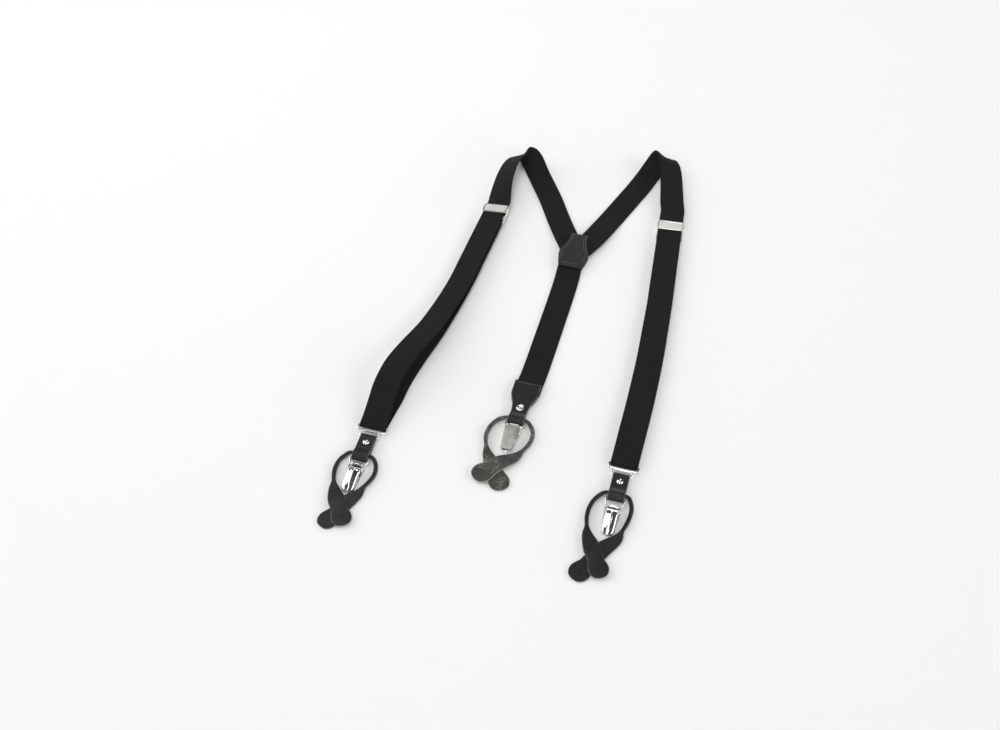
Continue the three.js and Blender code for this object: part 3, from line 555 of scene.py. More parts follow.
def leaning(slope, bank=0):
    """The direction across a strap that drifts sideways by slope and leans by bank degrees."""
    flat = Vector((1, slope, 0)).normalized() * math.cos(math.radians(bank))
    return flat.x, flat.y, math.sin(math.radians(bank))


def run_x(side, y):
    return SLIDERS[side][0] + SLOPES[side] * (SLIDERS[side][1] - y)


def rows_of(points):
    return [station(*p) for p in points]


rear_strap = rows_of([
    (0, -4, LOW), (0.2, -26, LOW - 0.2), (0.8, -40, RETURN_Z), (1, -72, RETURN_Z), (0.6, -113, RETURN_Z),
    (0.2, -152, RETURN_Z), (-0.3, -172, 1.6), (-0.7, -179, 2.65), (-1, -193, 2.6)])

LEFT_LEG = (0.857, 0.515, 0)
RIGHT_LEG = (0.952, -0.306, 0)
LEFT_TOP = FRONT_Z + LIFTS["left"]
LEAN = math.radians(BANKS["left"])
LEFT_ACROSS = leaning(SLOPES["left"], BANKS["left"])
RIGHT_ACROSS = leaning(SLOPES["right"])

left_strap = rows_of([
    (-4, 4.4, LOW, LEFT_LEG), (-16.2, 23.4, LOW, LEFT_LEG), (-28.6, 45, RETURN_Z, LEFT_LEG),
    (-42.7, 70.1, RETURN_Z, LEFT_LEG), (-60.4, 98, RETURN_Z, LEFT_LEG), (-67.2, 108.5, RETURN_Z, LEFT_LEG),
    (-72.5, 116.5, 2.2, (0.862, 0.505, 0.03)), (-77, 120.2, 6.6, (0.86, 0.5, 0.02)),
    (-82, 120.6, 10.2, (0.9, 0.32, 0.16)), (-87.3, 119, 12.2, (0.9, 0.17, 0.38)),
    (-91.8, 113.4, 13.8, (0.86, -0.02, 0.5)), (-95.2, 104, 14.6, (0.84, -0.07, 0.54)),
    (-96.5, 94, 14.6, (0.835, -0.07, 0.55)), (-96.9, 84, 14, (0.85, -0.065, 0.52)),
    (-96.7, 74, 12.7, (0.87, -0.06, 0.48)), (-96, 63, 10.8, (0.91, -0.05, 0.4)),
    (-94.9, 54, 9, (0.95, -0.045, 0.29)),
    *[(run_x("left", y), y, LEFT_TOP, LEFT_ACROSS) for y in (45, 34, 5, -22, -48, -72)],
    (-103.5, -102, LEFT_TOP + 1.7, leaning(-0.1, 10)), (-109.4, -144, 14.2, leaning(-0.13, 8)),
    (-117.8, -180, 19.5, leaning(-0.15, 5)), (-123.6, -205, 20.5, leaning(-0.14, 2)),
    (-126.4, -228, 16.5, leaning(-0.06)), (-126.8, -245.4, 9.6),
    (-126.7, -258.4, FRONT_Z + 0.8)])

right_strap = rows_of([
    (5, 2, HIGH, (0.9, -0.43, 0)), (13.5, 20, HIGH, (0.92, -0.39, 0)), (20.8, 41.5, 2.4, (0.945, -0.33, 0)),
    (27, 60.8, RETURN_Z, RIGHT_LEG), (37.6, 92.5, RETURN_Z, RIGHT_LEG), (43.6, 110.5, RETURN_Z, RIGHT_LEG),
    (50.7, 135.4, RETURN_Z, RIGHT_LEG), (54.6, 149, 2.4, (0.96, -0.27, 0)),
    (59.5, 157, 7.5, (0.98, -0.2, -0.1)), (64.5, 156, 13, (0.97, -0.15, -0.22)),
    (69.5, 149, 14.5, (0.95, -0.03, -0.32)), (74, 137.5, 13.4, (0.94, 0.1, -0.3)),
    (78, 122, 11, (0.95, 0.15, -0.22)), (81.3, 107, 8.6, (0.97, 0.15, -0.12)),
    (83.9, 95, 6.4, (0.98, 0.12, -0.04)),
    *[(run_x("right", y), y, FRONT_Z, RIGHT_ACROSS) for y in (84, 74, 44, 12, -20, -54)],
    (100.3, -86, FRONT_Z, leaning(0.06)), (102.3, -124, FRONT_Z, leaning(0.04)),
    (103.5, -174, FRONT_Z, leaning(0.01)), (103.6, -225.4, FRONT_Z), (103.7, -238.7, FRONT_Z)])


def turn_rows(side, drift):
    """The webbing round the ring's bar and on to the start of the layer behind."""
    x, y = ENDS[side][0], ENDS[side][1] + BAR_Y
    radius, middle = LAYERS / 2, (FRONT_Z + RETURN_Z) / 2
    rows = [station(x, y - radius * math.cos(math.radians(a)), middle + radius * math.sin(math.radians(a)))
            for a in (90, 60, 30, 0, -30, -60, -90)]
    return rows + [station(x + drift * (s - 6), y + s, RETURN_Z, leaning(-drift)) for s in (6, 13, 20)]


DRIFTS = {"left": 0.12, "right": 0.0}


def back_x(s):
    return ENDS["left"][0] + DRIFTS["left"] * (s - 6)


left_return = rows_of([
    *[(back_x(s), ENDS["left"][1] + BAR_Y + s, RETURN_Z, leaning(-0.12)) for s in (20.4, 28, 36)],
    (-121.6, -208, RETURN_Z, leaning(-0.08)), (-116.8, -180, RETURN_Z + 0.7, leaning(-0.14, 3)),
    (-109.2, -144, RETURN_Z + 1.3, leaning(-0.13, 6)), (-102.8, -102, RETURN_Z + 2, leaning(-0.1, 9)),
    *[(run_x("left", y) + LAYERS * math.sin(LEAN), y, LEFT_TOP - LAYERS * math.cos(LEAN), LEFT_ACROSS)
      for y in (-72, -40, -22, 3.6)]])
right_return = rows_of([
    (103.7, -227.3, RETURN_Z), (103.9, -210, RETURN_Z), (104, -174, RETURN_Z, leaning(0.01)),
    (102.8, -124, RETURN_Z, leaning(0.04)), (100.6, -86, RETURN_Z, leaning(0.06)),
    *[(run_x("right", y), y, RETURN_Z, RIGHT_ACROSS) for y in (-54, -20, 10)],
    (run_x("right", 30), 29.2, RETURN_Z, RIGHT_ACROSS)])

# %% [markdown]
# Woven elastic is flat, with edges that turn over smoothly. Every strap has the same section from end to
# end.

# %% Strap pieces
BAND = flat_section()


def strap(name, rows, body, nodes):
    vertices, faces, weave = sweep(rows, BAND, 8)
    made = piece(name, (vertices, faces), WEBBING, body, nodes, slot="webbing", weave=weave)
    print(name, "is", round(weave[-1][1]), "mm of webbing")
    return made


strap("rear_webbing", rear_strap, "webbing", ["rear_strap"])
for side, rows, back in (("left", left_strap, left_return), ("right", right_strap, right_return)):
    whole = rows + turn_rows(side, DRIFTS[side])
    front = strap(f"{side}_shoulder_webbing", whole, None,
                  [f"{side}_back_leg", f"{side}_front_strap", f"{side}_strap_turn"])
    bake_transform(front)
    layer = strap(f"{side}_return_webbing", back, f"{side}_loop", [f"{side}_strap_return"])
    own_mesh(layer)

# %% [markdown]
# ## Back patch
# Two leather shapes are sewn together with the strap ends between them. The upper one is draped over
# three layers of webbing, so it is crowned and dips at its edges. Its outline is the same above and
# below: a neck between the shoulder straps, concave sides, and a wide foot over the rear strap. Two rows
# of stitches follow each side, and one row crosses the neck and one the foot. The stitches are real
# short lengths of thread, sunk at both ends.

# %% Patch outline
NECK, FOOT = 23, -25


def bezier(p0, p1, p2, p3, steps):
    t = np.linspace(0, 1, steps)[:, None]
    p0, p1, p2, p3 = map(np.array, (p0, p1, p2, p3))
    u = 1 - t
    return list(map(tuple, u**3 * p0 + 3 * u**2 * t * p1 + 3 * u * t**2 * p2 + t**3 * p3))


def patch_side(inset):
    """The right side of the patch from the neck down to the foot, moved inwards by inset."""
    side = bezier((9, NECK), (9.5, 12), (11, 4), (15.2, -2.5), 12)
    side += [(15.3, -5), (15.2, -8.5), (14.8, -12), (13.1, -18.6), (11.4, FOOT)]
    out = []
    for i, (x, y) in enumerate(side):
        before, after = side[max(i - 1, 0)], side[min(i + 1, len(side) - 1)]
        normal = Vector((after[1] - before[1], before[0] - after[0])).normalized()
        out.append((x + normal.x * inset, y + normal.y * inset))
    return out


def crown_height(x, y):
    """How high the patch's upper face is over the webbing under it."""
    edge = max(abs(x) / 15.5, abs(y + 1) / 25)
    return 6.3 - 1.1 * max(edge - 0.55, 0) ** 2 * 4 + 0.25 * math.cos(x * 0.5) * math.cos(y * 0.22)


def leather_plate(top, bottom, radius):
    """A plate with the patch's outline and rounded edges; top and bottom give its heights at x, y."""
    right = patch_side(0)
    shares = [k / 10 for k in range(-10, 11)]
    upper = [(x * s, y, top(x * s, y)) for x, y in right for s in shares]
    lower = [(x, y, bottom(x, y)) for x, y, _ in upper]
    return rounded(shell(upper, lower, len(right)), radius, 3, 50)


piece("patch_upper_leather", leather_plate(crown_height, lambda x, y: crown_height(x, y) - 1.3, 0.35),
      PATCH_LEATHER, "webbing", ["back_patch_top"], slot="smooth_leather")
piece("patch_lower_leather", leather_plate(lambda x, y: 1.25, lambda x, y: 0.0, 0.3),
      SUEDE, "webbing", ["back_patch_under"], slot="suede_leather")


# %% Stitches
STITCH, STITCH_GAP, THREAD_RADIUS = 2.3, 0.7, 0.33
STITCH_PROFILE = ((0, -0.25), (0.15, 0.05), (0.5, 0.18), (0.85, 0.05), (1, -0.25))  # share of length, rise


def resampled(line, spacing):
    points = smooth([(x, y, 0) for x, y in line], 8)[:, :2]
    lengths = np.concatenate([[0], np.cumsum(np.linalg.norm(np.diff(points, axis=0), axis=1))])
    marks = np.arange(0, lengths[-1], spacing)
    return [Vector([np.interp(mark, lengths, points[:, k]) for k in (0, 1)]) for mark in marks]


def stitch_row(line, height):
    """Short humped threads along a line of x, y points; height gives the leather's face."""
    made = []
    points = resampled(line, STITCH + STITCH_GAP)
    for here, ahead in zip(points, points[1:]):
        along = (ahead - here).normalized()
        a = here + along * (STITCH_GAP - 0.1)
        thread = []
        for share, rise in STITCH_PROFILE:
            p = a + along * STITCH * share
            thread.append((p.x, p.y, height(p.x, p.y) + rise))
        made.append(wire(thread, THREAD_RADIUS, 2, closed=False, count=8))
    return merge(*made)


seams = []
for inset in (1.6, 3.6):
    side_line = patch_side(inset)[1:-1]
    for mirror in (1, -1):
        seams.append(stitch_row([(x * mirror, y) for x, y in side_line], crown_height))
seams.append(stitch_row([(-9, FOOT + 4.4), (9, FOOT + 4.4)], crown_height))
seams.append(stitch_row([(-6, NECK - 2), (6, NECK - 2)], crown_height))
piece("patch_stitching", merge(*seams), THREAD, "webbing", slot="smooth_leather")

# %% [markdown]
# ## Adjusters
# A stamped face plate with clipped corners lies over the webbing. Its two side walls hold a toothed flap
# that grips the webbing from behind, and a lower bar that the strap's end is sewn round. The face is
# brushed and its rim is rolled bright, so the rim is a separate, rounded frame round a slightly sunken
# panel.

# %% Adjuster pieces
SLIDER_HALF, WALL = 13.5, 0.7
SEWN_Y, SEWN_Z, SEWN_LENGTH = -15.5, 1.45 - LAYERS, 14
BAR_FLATNESS = 0.45  # the lower bar's half thickness, as a share of its half depth of 1 mm
PIN_Y, PIN_Z = 3, -2.75
PLATE_LOW = WEB / 2 + 0.3
PLATE_HALF_HEIGHT = 6.2


def clipped(half_x, half_y, corner):
    """A rectangle with its corners cut off."""
    x, y, c = half_x, half_y, corner
    return [(c - x, -y), (x - c, -y), (x, c - y), (x, y - c), (x - c, y), (c - x, y), (-x, y - c),
            (-x, c - y)]


def slider(side):
    place = Matrix.Translation((*SLIDERS[side], FRONT_Z + LIFTS[side]))
    place = place @ Matrix.Rotation(math.atan(SLOPES[side]), 4, "Z")
    place = place @ Matrix.Rotation(-math.radians(BANKS[side]), 4, "Y")
    outer = clipped(SLIDER_HALF, PLATE_HALF_HEIGHT, 2.1)
    inner = clipped(SLIDER_HALF - 1.4, PLATE_HALF_HEIGHT - 1.4, 1.6)
    panel = rounded(prism(inner, PLATE_LOW, PLATE_LOW + 0.75), 0.1, 1)
    fitting(side, "slider_face_panel", panel, "slider", None, place, PAINTED_LIGHT_BRUSHED_NICKEL, "satin_nickel")
    n = len(outer)
    rim_v = [(x, y, z) for z in (PLATE_LOW, PLATE_LOW + 1) for ring in (outer, inner) for x, y in ring]
    rim_f = []
    for k in range(n):
        k2 = (k + 1) % n
        rim_f += [(k, k2, 2 * n + k2, 2 * n + k), (n + k2, n + k, 3 * n + k, 3 * n + k2),
                  (2 * n + k, 2 * n + k2, 3 * n + k2, 3 * n + k), (k2, k, n + k, n + k2)]
    rim = rounded((rim_v, rim_f), 0.3, 3, 25)
    profile = [(-4.1, PLATE_LOW + 0.4), (4.1, PLATE_LOW + 0.4), (4.1, -3.4), (3.8, -4), (-14, -4),
               (-17.2, -3.8), (-17.6, -3.2), (-17.4, -2.2), (-16.6, -1.9), (-6.6, -1.6), (-4.8, -0.6)]
    walls = both_sides(lambda a, b: rounded(side_plate(profile, a, b), 0.2, 2),
                       SLIDER_HALF - WALL, SLIDER_HALF)
    bar = rounded(rod(0.1 - SLIDER_HALF, SLIDER_HALF - 0.1, SEWN_Y, 0, 1, 20), 0.05, 1, 80)
    bar = moved(bar, Matrix.Translation((0, 0, SEWN_Z)) @ Matrix.Diagonal((1, 1, BAR_FLATNESS, 1)))
    fitting(side, "slider_rim_and_walls", merge(rim, *walls, bar), "slider", "slider_frame", place,
            slot="satin_nickel")
    heads = both_sides(lambda a, b: rounded(rod(a, b, PIN_Y, PIN_Z, 0.85), 0.25),
                       SLIDER_HALF - 1.5, SLIDER_HALF + 0.35)
    shaft = rod(2 - SLIDER_HALF, SLIDER_HALF - 2, PIN_Y, PIN_Z, 0.7)
    fitting(side, "slider_hinge_pin", merge(shaft, *heads), "slider", "slider_pin", place)
    # a stamped flap: a rolled knuckle, a thin plate, and teeth bent up along its free edge
    knuckle = rounded(rod(-12.3, 12.3, PIN_Y, PIN_Z, 1.7), 0.25)
    plate = rounded(block(-12.3, 12.3, -6.8, PIN_Y - 0.8, PIN_Z - 0.1, PIN_Z + 0.9), 0.25)
    tooth = prism([(-0.75, -0.5), (0.75, -0.5), (0.25, 0.5), (-0.25, 0.5)], -0.3, 0.3)
    upright = Matrix.Rotation(math.pi / 2, 4, "X")
    teeth = [rounded(moved(tooth, Matrix.Translation((x, -6.3, PIN_Z + 1.2)) @ upright), 0.08, 1)
             for x in np.arange(-11, 11.1, 2.2)]
    fitting(side, "slider_toothed_flap", merge(knuckle, plate, *teeth), "flap", "slider_flap", place)
    sewn_end(side, place)


def sewn_end(side, place):
    """The strap's end, wrapped round the lower bar and sewn to itself."""
    back, out, front = -LAYERS, BAR_FLATNESS + 0.3 + WEB / 2, -LAYERS + WEB + 0.3
    wrap = [(-SEWN_LENGTH, back), (-4, back), (1.4, SEWN_Z - out + 0.15), (2.8, SEWN_Z), (1.4, SEWN_Z + out),
            (-3, SEWN_Z + out - 0.3), (-8, front), (-SEWN_LENGTH, front)]
    vertices, faces, weave = sweep(rows_of([(0, SEWN_Y + y, z) for y, z in wrap]), BAND, 8)
    fitting(side, "sewn_webbing_end", (vertices, faces), "slider", "strap_sewn_end", place, WEBBING,
            "webbing", weave=weave)
    seam = []
    for z in (front + WEB / 2 - 0.05, back - WEB / 2 + 0.05):
        for y in (SEWN_Y - 9.5, SEWN_Y - 12):
            seam.append(stitch_row([(-10.5, y), (10.5, y)], lambda px, py, z=z: z))
    fitting(side, "sewn_end_stitching", merge(*seam), "slider", None, place, THREAD, "webbing")


for side in SLIDERS:
    slider(side)

# %% [markdown]
# ## Wire rings and bails
# The strap ring is one bent wire brazed to a smaller one: a wide slot for the webbing, and a narrow slot
# for the leather tab. The bail is a wire that joins the leather fold to the clip's barrel and narrows
# towards it.

# %% Rings and bails
RING_WIRE, BAIL_WIRE = 0.85, 0.8
FOLD_Z, CORD_Y, BAIL_Y = 3.6, 4.2, 0.9
BARREL_Y = {"left": -6.6, "right": -8.4, "rear": -6.0}
BARREL_Z, CLIP_HEIGHT = 2.5, 8.8


def wire_rectangle(half_x, y0, y1, z, radius, corner=1.7):
    points = []
    for sx, y, start in ((1, y1, 0), (-1, y1, 90), (-1, y0, 180), (1, y0, 270)):
        middle_x, middle_y = sx * (half_x - corner), y - corner if y == y1 else y + corner
        for turn in (0, 30, 60, 90):
            t = math.radians(start + turn)
            points.append((middle_x + corner * math.cos(t), middle_y + corner * math.sin(t), z))
    return wire(points, radius, 3)


def strap_ring(side, place):
    z = (FRONT_Z + RETURN_Z) / 2
    wide = wire_rectangle(13.6, 31.6, BAR_Y, z, RING_WIRE)
    narrow = wire_rectangle(8.7, 24.4, 30.3, z, RING_WIRE)
    fitting(side, "ring_wire", merge(wide, narrow), "ring", "strap_ring", place)


def bail(side, place):
    z, by = FOLD_Z - 0.3, BARREL_Y[side]
    bz = CLIP_HEIGHT - BARREL_Z if side == "rear" else BARREL_Z
    half = [(0, BAIL_Y, z), (7.4, BAIL_Y, z), (8.5, BAIL_Y - 0.8, z), (8.6, -1.8, z),
            (7.4, by / 2 - 2, (z + bz) / 2), (5.9, by + 0.7, bz), (4.6, by, bz)]
    points = half + [(0, by, bz)] + [(-x, y, h) for x, y, h in reversed(half[1:])]
    fitting(side, "bail_wire", wire(points, BAIL_WIRE, 5), "bail", "clip_bail", place)


# %% [markdown]
# ## Leather tabs and rivets
# A front tab is one strip of leather that wraps the ring's narrow bar, runs down, folds round the cord
# and the bail and comes back up behind itself. One rivet holds both layers. The rear tab is wider at the
# top, where it takes the end of the rear strap between its layers.

# %% Tab pieces
TAB_WIDTH = 15
CORD_RADIUS = 1.95
INSIDE = CORD_RADIUS + 0.3 + LEATHER / 2
RIVET_Y = 17.2
TAB_BACK, TAB_FRONT, REAR_BACK = 1.6, 5, 2.4
HIDE = flat_section(edge=0.04, rows=9)


# the fold's y and height, round the cord and the bail
FOLD = ((CORD_Y, FOLD_Z + INSIDE), (1, FOLD_Z + INSIDE - 0.7), (-1.6, FOLD_Z + 0.4), (-1.2, FOLD_Z - 1.8),
        (1, RETURN_Z), (CORD_Y + 1, RETURN_Z))


def tab_rows(rows):
    return [station(0, y, z, X_AXIS, width, LEATHER) for y, z, width in rows]


def dip(y):
    """The front layer is drawn down round the rivet and creased above and below it."""
    return -0.35 * math.exp(-(((y - RIVET_Y) / 3.2) ** 2)) - 0.25 * math.exp(-(((y - 10) / 1.1) ** 2))


def front_tab(side, place):
    z = (FRONT_Z + RETURN_Z) / 2
    over = RING_WIRE + 0.3 + LEATHER / 2
    rows = [(13, TAB_BACK + LEATHER + 0.3), (19.5, TAB_BACK + LEATHER + 0.3), (22.2, 2.6), (24.4, z - over),
            (24.4 + over, z), (24.4, z + over)]
    rows += [(y, TAB_FRONT + dip(y)) for y in (21.6, 19.5, 17.2, 15, 12.6, 11.2, 10, 8.8)]
    rows += [*FOLD, (12, TAB_BACK), (20, TAB_BACK)]
    shape = sweep(tab_rows([(y, h, TAB_WIDTH) for y, h in rows]), HIDE, 5)[:2]
    fitting(side, "tab_leather", shape, "tab", "leather_tab", place, GRAIN_LEATHER, "smooth_leather",
            strip=strip_map(shape[0], HIDE))


def rear_tab(place):
    wide = STRAP_WIDTH + 0.6
    front = [(48, 4.3, wide), (41, 4.3, wide), (34, 4.3, wide), (30, 4.25, 24), (27, 4.2, 21.4),
             (23.5, 4.2, 18.6), (20, 4.05, 16.8), (17.2, 3.95, 15.8), (13, 4.2, 15), (10.4, 4.5, 14.8)]
    fold = [(y, h, TAB_WIDTH) for y, h in FOLD]
    back = [(13, REAR_BACK, 15), (21, REAR_BACK, 17), (27, REAR_BACK - 0.6, 22), (34, RETURN_Z, wide),
            (48, RETURN_Z, wide)]
    shape = sweep(tab_rows(front + fold + back), HIDE, 5)[:2]
    piece("rear_tab_leather", shape, GRAIN_LEATHER, "webbing", ["rear_leather_tab"], place, "smooth_leather",
          strip=strip_map(shape[0], HIDE))
    seam = stitch_row([(-10.6, 46), (10.6, 46)], lambda px, py: 5.0)
    piece("rear_tab_stitching", seam, THREAD, "webbing", place=place, slot="smooth_leather")


def rivet(side, place):
    """A domed cap on the front of a front tab; on the rear tab the flat washer and peened shank show."""
    body = "webbing" if side == "rear" else f"{side}_tab"
    up = side != "rear"
    top = (TAB_FRONT - 0.35 if up else 3.95) + LEATHER / 2
    bottom = (TAB_BACK if up else REAR_BACK) - LEATHER / 2
    cap = [(0, 1.3), (1, 1.22), (1.9, 0.98), (2.6, 0.55), (2.9, 0.1), (2.85, -0.1), (1.2, -0.12),
           (1.15, bottom - top), (0, bottom - top)]
    washer = [(0, 0.62), (1.0, 0.6), (1.2, 0.32), (1.7, 0.3), (2.2, 0.55), (3.0, 0.62), (3.7, 0.4),
              (3.85, 0.1), (3.7, -0.02), (0, -0.02)]
    here = Matrix.Translation((0, RIVET_Y, top))
    there = Matrix.Translation((0, RIVET_Y, bottom)) @ Matrix.Rotation(math.pi, 4, "X")
    if up:
        washer = [(r * 0.8, h) for r, h in washer]
    cap_at, washer_at = (here, there) if up else (there, here)
    for name, node, profile, at in (("dome", "cap", cap, cap_at), ("ring", "washer", washer, washer_at)):
        piece(f"{side}_rivet_{name}", moved(turned(profile), at), POLISHED_NICKEL, body,
              [f"{side}_rivet_{node}"], place, "polished_nickel")


# %% [markdown]
# ## Lever clip
# The back plate is stamped steel. Its upper end curls round the bail as a collar with two small holes,
# and two ears carry the pin. A domed lever with a raised spine turns on the pin; pressing it down closes
# the sprung jaw on the pad. The lever is a bent sheet, so it is made as a thin shell: rows of a rounded
# section that follow its plan and its side profile, then the same rows moved inwards, joined at the rim.

# %% Clip pieces
CLIP_PIN_Y, CLIP_PIN_Z = -5.2, 4.6
CLIP_TIP, PLATE_TIP = -28.6, -27.6
LEVER_HALF, LEVER_STEEL = 5.9, 0.9


def lever_section(half, top, low, spine):
    """Points of the lever's section from the left rim over the top to the right rim."""
    right = [(0, top + spine), (0.14, top + spine * 0.97), (0.22, top + spine * 0.5), (0.3, top - 0.08),
             (0.48, top - 0.38), (0.66, top - 0.7), (0.82, top - 1.1), (0.94, top - 2)]
    right = [(a * half, max(z, low + 0.1)) for a, z in right]
    right += [(half, max(top - 3.9, low + 0.05)), (half, low)]
    return [(-x, z) for x, z in reversed(right[1:])] + right


def lever_shell():
    profile = smooth([(-7.6, 7.5, 0), (-9.6, 8.2, 0), (-13, 8.1, 0), (-18, 7.4, 0), (-22.5, 6.5, 0),
                      (-26.2, 5.3, 0), (-28.6, 3.7, 0), (-29.4, 2.5, 0)], 4)
    outer, inner = [], []
    low = 1.6
    for y, z, _ in profile:
        past = max(0, (-23.2 - y) / 6.4)
        half = LEVER_HALF * max(1 - past**2.4, 0.02) ** 0.5
        spine = 0.5 * max(0, 1 - ((y + 15) / 10) ** 2) ** 0.5
        section = lever_section(half, z, low, spine)
        outer += [(x, y, h) for x, h in section]
        shrink = max(half - LEVER_STEEL, 0.1) / half
        inside_y = min(y + LEVER_STEEL * past, -7.6)
        inner += [(x * shrink, inside_y, h - LEVER_STEEL * (h - low) / max(z + spine - low, 0.1))
                  for x, h in section]
    return shell(outer, inner, len(profile))


def clip_place(side):
    """A front clip lies on its back; the rear clip lies on its lever."""
    x, y = ENDS[side]
    if side != "rear":
        return Matrix.Translation((x, y + BARREL_Y[side], 0))
    return Matrix.Translation((x, y + BARREL_Y[side], CLIP_HEIGHT)) @ Matrix.Rotation(math.pi, 4, "Y")


def collar():
    """The back plate's end, curled over the bail."""
    rows = [station(0, 1.75 * math.cos(t), BARREL_Z + 1.75 * math.sin(t), X_AXIS, 9.4, 0.7)
            for t in np.radians((-150, -100, -60, -20, 20, 60, 90, 120))]
    return sweep(rows, flat_section(edge=0.07, rows=9), 5)[:2]


def clip(side):
    place = clip_place(side)
    right = [(5, 0), (6.9, -2.4), (6.9, -8.5), (5.5, PLATE_TIP + 2.6), (4.1, PLATE_TIP + 0.5),
             (2.6, PLATE_TIP)]
    plate = rounded(prism(right + [(-x, y) for x, y in reversed(right)], 0.3, 1.2), 0.25)
    ear = [(-2.4, 0.4), (-8.4, 0.4), (-7.8, 4.9), (-7.1, 6), (-5.9, 6.6), (-4.5, 6.6), (-3.3, 6), (-2.8, 4.9)]
    ears = both_sides(lambda a, b: rounded(side_plate(ear, a, b), 0.2, 2), 6.3, 7.2)
    fitting(side, "clip_back", plate, "clip", "clip_back_plate", place, PAINTED_SHADE_BRUSHED_NICKEL, "satin_nickel")
    fitting(side, "clip_ears", merge(*ears), "clip", None, place, slot="satin_nickel")
    curl = fitting(side, "clip_collar", collar(), "clip", None, place, slot="satin_nickel")
    for x in (-3.1, 3.1):
        carve(curl, prism(circle(0.7, 16, x, -0.5), 3, 7), place)
    heads = both_sides(lambda a, b: rounded(rod(a, b, CLIP_PIN_Y, CLIP_PIN_Z, 0.95), 0.3), 6.1, 7.85)
    shaft = rod(-6.2, 6.2, CLIP_PIN_Y, CLIP_PIN_Z, 0.75)
    fitting(side, "clip_hinge_pin", merge(shaft, *heads), "clip", "clip_pin", place)
    ridges = [rounded(block(-4.2, 4.2, CLIP_TIP + y, CLIP_TIP + y + 0.7, 2, 2.35), 0.12, 1)
              for y in np.arange(1.9, 7.5, 1.3)]
    pad = rounded(block(-4.4, 4.4, CLIP_TIP + 1.4, CLIP_TIP + 8, 1.5, 2.1), 0.2)
    fitting(side, "clip_pad", merge(pad, *ridges), "clip", "clip_grip_pad", place, ABS, "grip_plastic")
    jaw_y = CLIP_TIP + 1.9
    jaw = rounded(block(-4.2, 4.2, jaw_y, -3.6, 2.55, 3.2), 0.2)
    teeth = [rounded(block(x - 0.35, x + 0.35, jaw_y, jaw_y + 0.8, 2.4, 3.6), 0.12, 1)
             for x in np.arange(-3.7, 3.8, 1.2)]
    fitting(side, "clip_sprung_jaw", merge(jaw, *teeth), "jaw", "clip_jaw", place)
    cheek = [(-3.4, 4.6), (-3.6, 5.6), (-4.4, 6.5), (-5.6, 6.7), (-8, 7.1), (-12, 5), (-12, 1.6), (-8, 2.2),
             (-5.6, 2.5), (-4.2, 2.9), (-3.5, 3.8)]
    cheeks = both_sides(lambda a, b: rounded(side_plate(cheek, a, b), 0.2, 2), 4.95, LEVER_HALF)
    tube = rod(-5, 5, CLIP_PIN_Y, CLIP_PIN_Z, 1.2, 20)
    fitting(side, "clip_domed_lever", merge(lever_shell(), *cheeks, tube), "lever", "clip_lever", place,
            sharp=50)


# %% [markdown]
# ## Button runners
# A runner is one strip of leather, rolled into a cord in the middle and left flat at both ends. The flat
# ends cross and finish in round lobes, each with a slit for a trouser button. The section changes along
# the strip: where the shape value is 1 it is a roll with a seam groove, and where it is 0 it is flat
# with rounded edges.

# %% Runner pieces


def rolled(shape):
    """The runner's section: flat at 0, a roll with a groove at 1."""
    count = 28
    out = []
    for k in range(count):
        t = 2 * math.pi * (k + 0.5) / count
        c, s = math.cos(t), math.sin(t)
        groove = 0.16 * math.exp(-((t - math.pi / 2) / 0.28) ** 2)
        round_x, round_z = c / 2 * (1 - groove), s / 2 * (1 - groove * 1.6)
        flat_x = math.copysign(abs(c) ** 0.75, c) / 2
        flat_z = math.copysign(abs(s) ** 0.35, s) / 2
        share = min(max(shape, 0), 1)
        out.append((flat_x + (round_x - flat_x) * share, flat_z + (round_z - flat_z) * share))
    return out


RUNNERS = {
    "left": {
        "right_side": [(13.4, -27), (16.4, -20), (17.9, -12.5), (16.9, -5), (14.4, 0.3)],
        "left_side": [(-14.2, 0.4), (-17, -5), (-18.2, -12.5), (-17.2, -20.5), (-14.6, -28)],
        "right_tab": [(10.6, -35.4), (3, -46.8)], "left_tab": [(-11.4, -35.5), (-5, -46.5)],
        "left_lobe": (-5.6, -66.5, 9), "right_lobe": (5.2, -62, 9), "over": "left"},
    "right": {
        "right_side": [(12.2, -30.6), (14.3, -23), (15.6, -15), (15.6, -7), (13.8, -0.6)],
        "left_side": [(-14.6, 0.2), (-18.4, -6.5), (-20.4, -15), (-20.4, -24), (-18.4, -33)],
        "right_tab": [(9.8, -38.6), (-0.4, -52)], "left_tab": [(-16, -41.5), (-9, -54.5)],
        "left_lobe": (-14, -77.4, 9.6), "right_lobe": (0.4, -71.8, 9), "over": "left"},
    "rear": {
        "right_side": [(14.4, -27.5), (17.6, -20.5), (19, -12.5), (17.8, -5), (14.6, 0.6)],
        "left_side": [(-15, 1.6), (-19.6, -4.6), (-22.2, -13), (-22, -22), (-19.2, -30.5)],
        "right_tab": [(9.8, -36.6), (-2.6, -47.4)], "left_tab": [(-15.4, -39), (-7.6, -49.5)],
        "left_lobe": (-13.6, -60.4, 10), "right_lobe": (2.2, -64.4, 9.6), "over": "right"},
}
OVER_Z, UNDER_Z = (2.6, 4, 3.3), (1.4, 1.2, 1.2)
TAB_FLAT = 1.6
# distance out from a lobe's middle and half width there, in shares of its radius
LOBE = ((1, 0.08), (0.985, 0.28), (0.93, 0.48), (0.82, 0.66), (0.66, 0.8), (0.42, 0.93), (0.1, 1),
        (-0.25, 0.97), (-0.6, 0.86), (-0.95, 0.77))


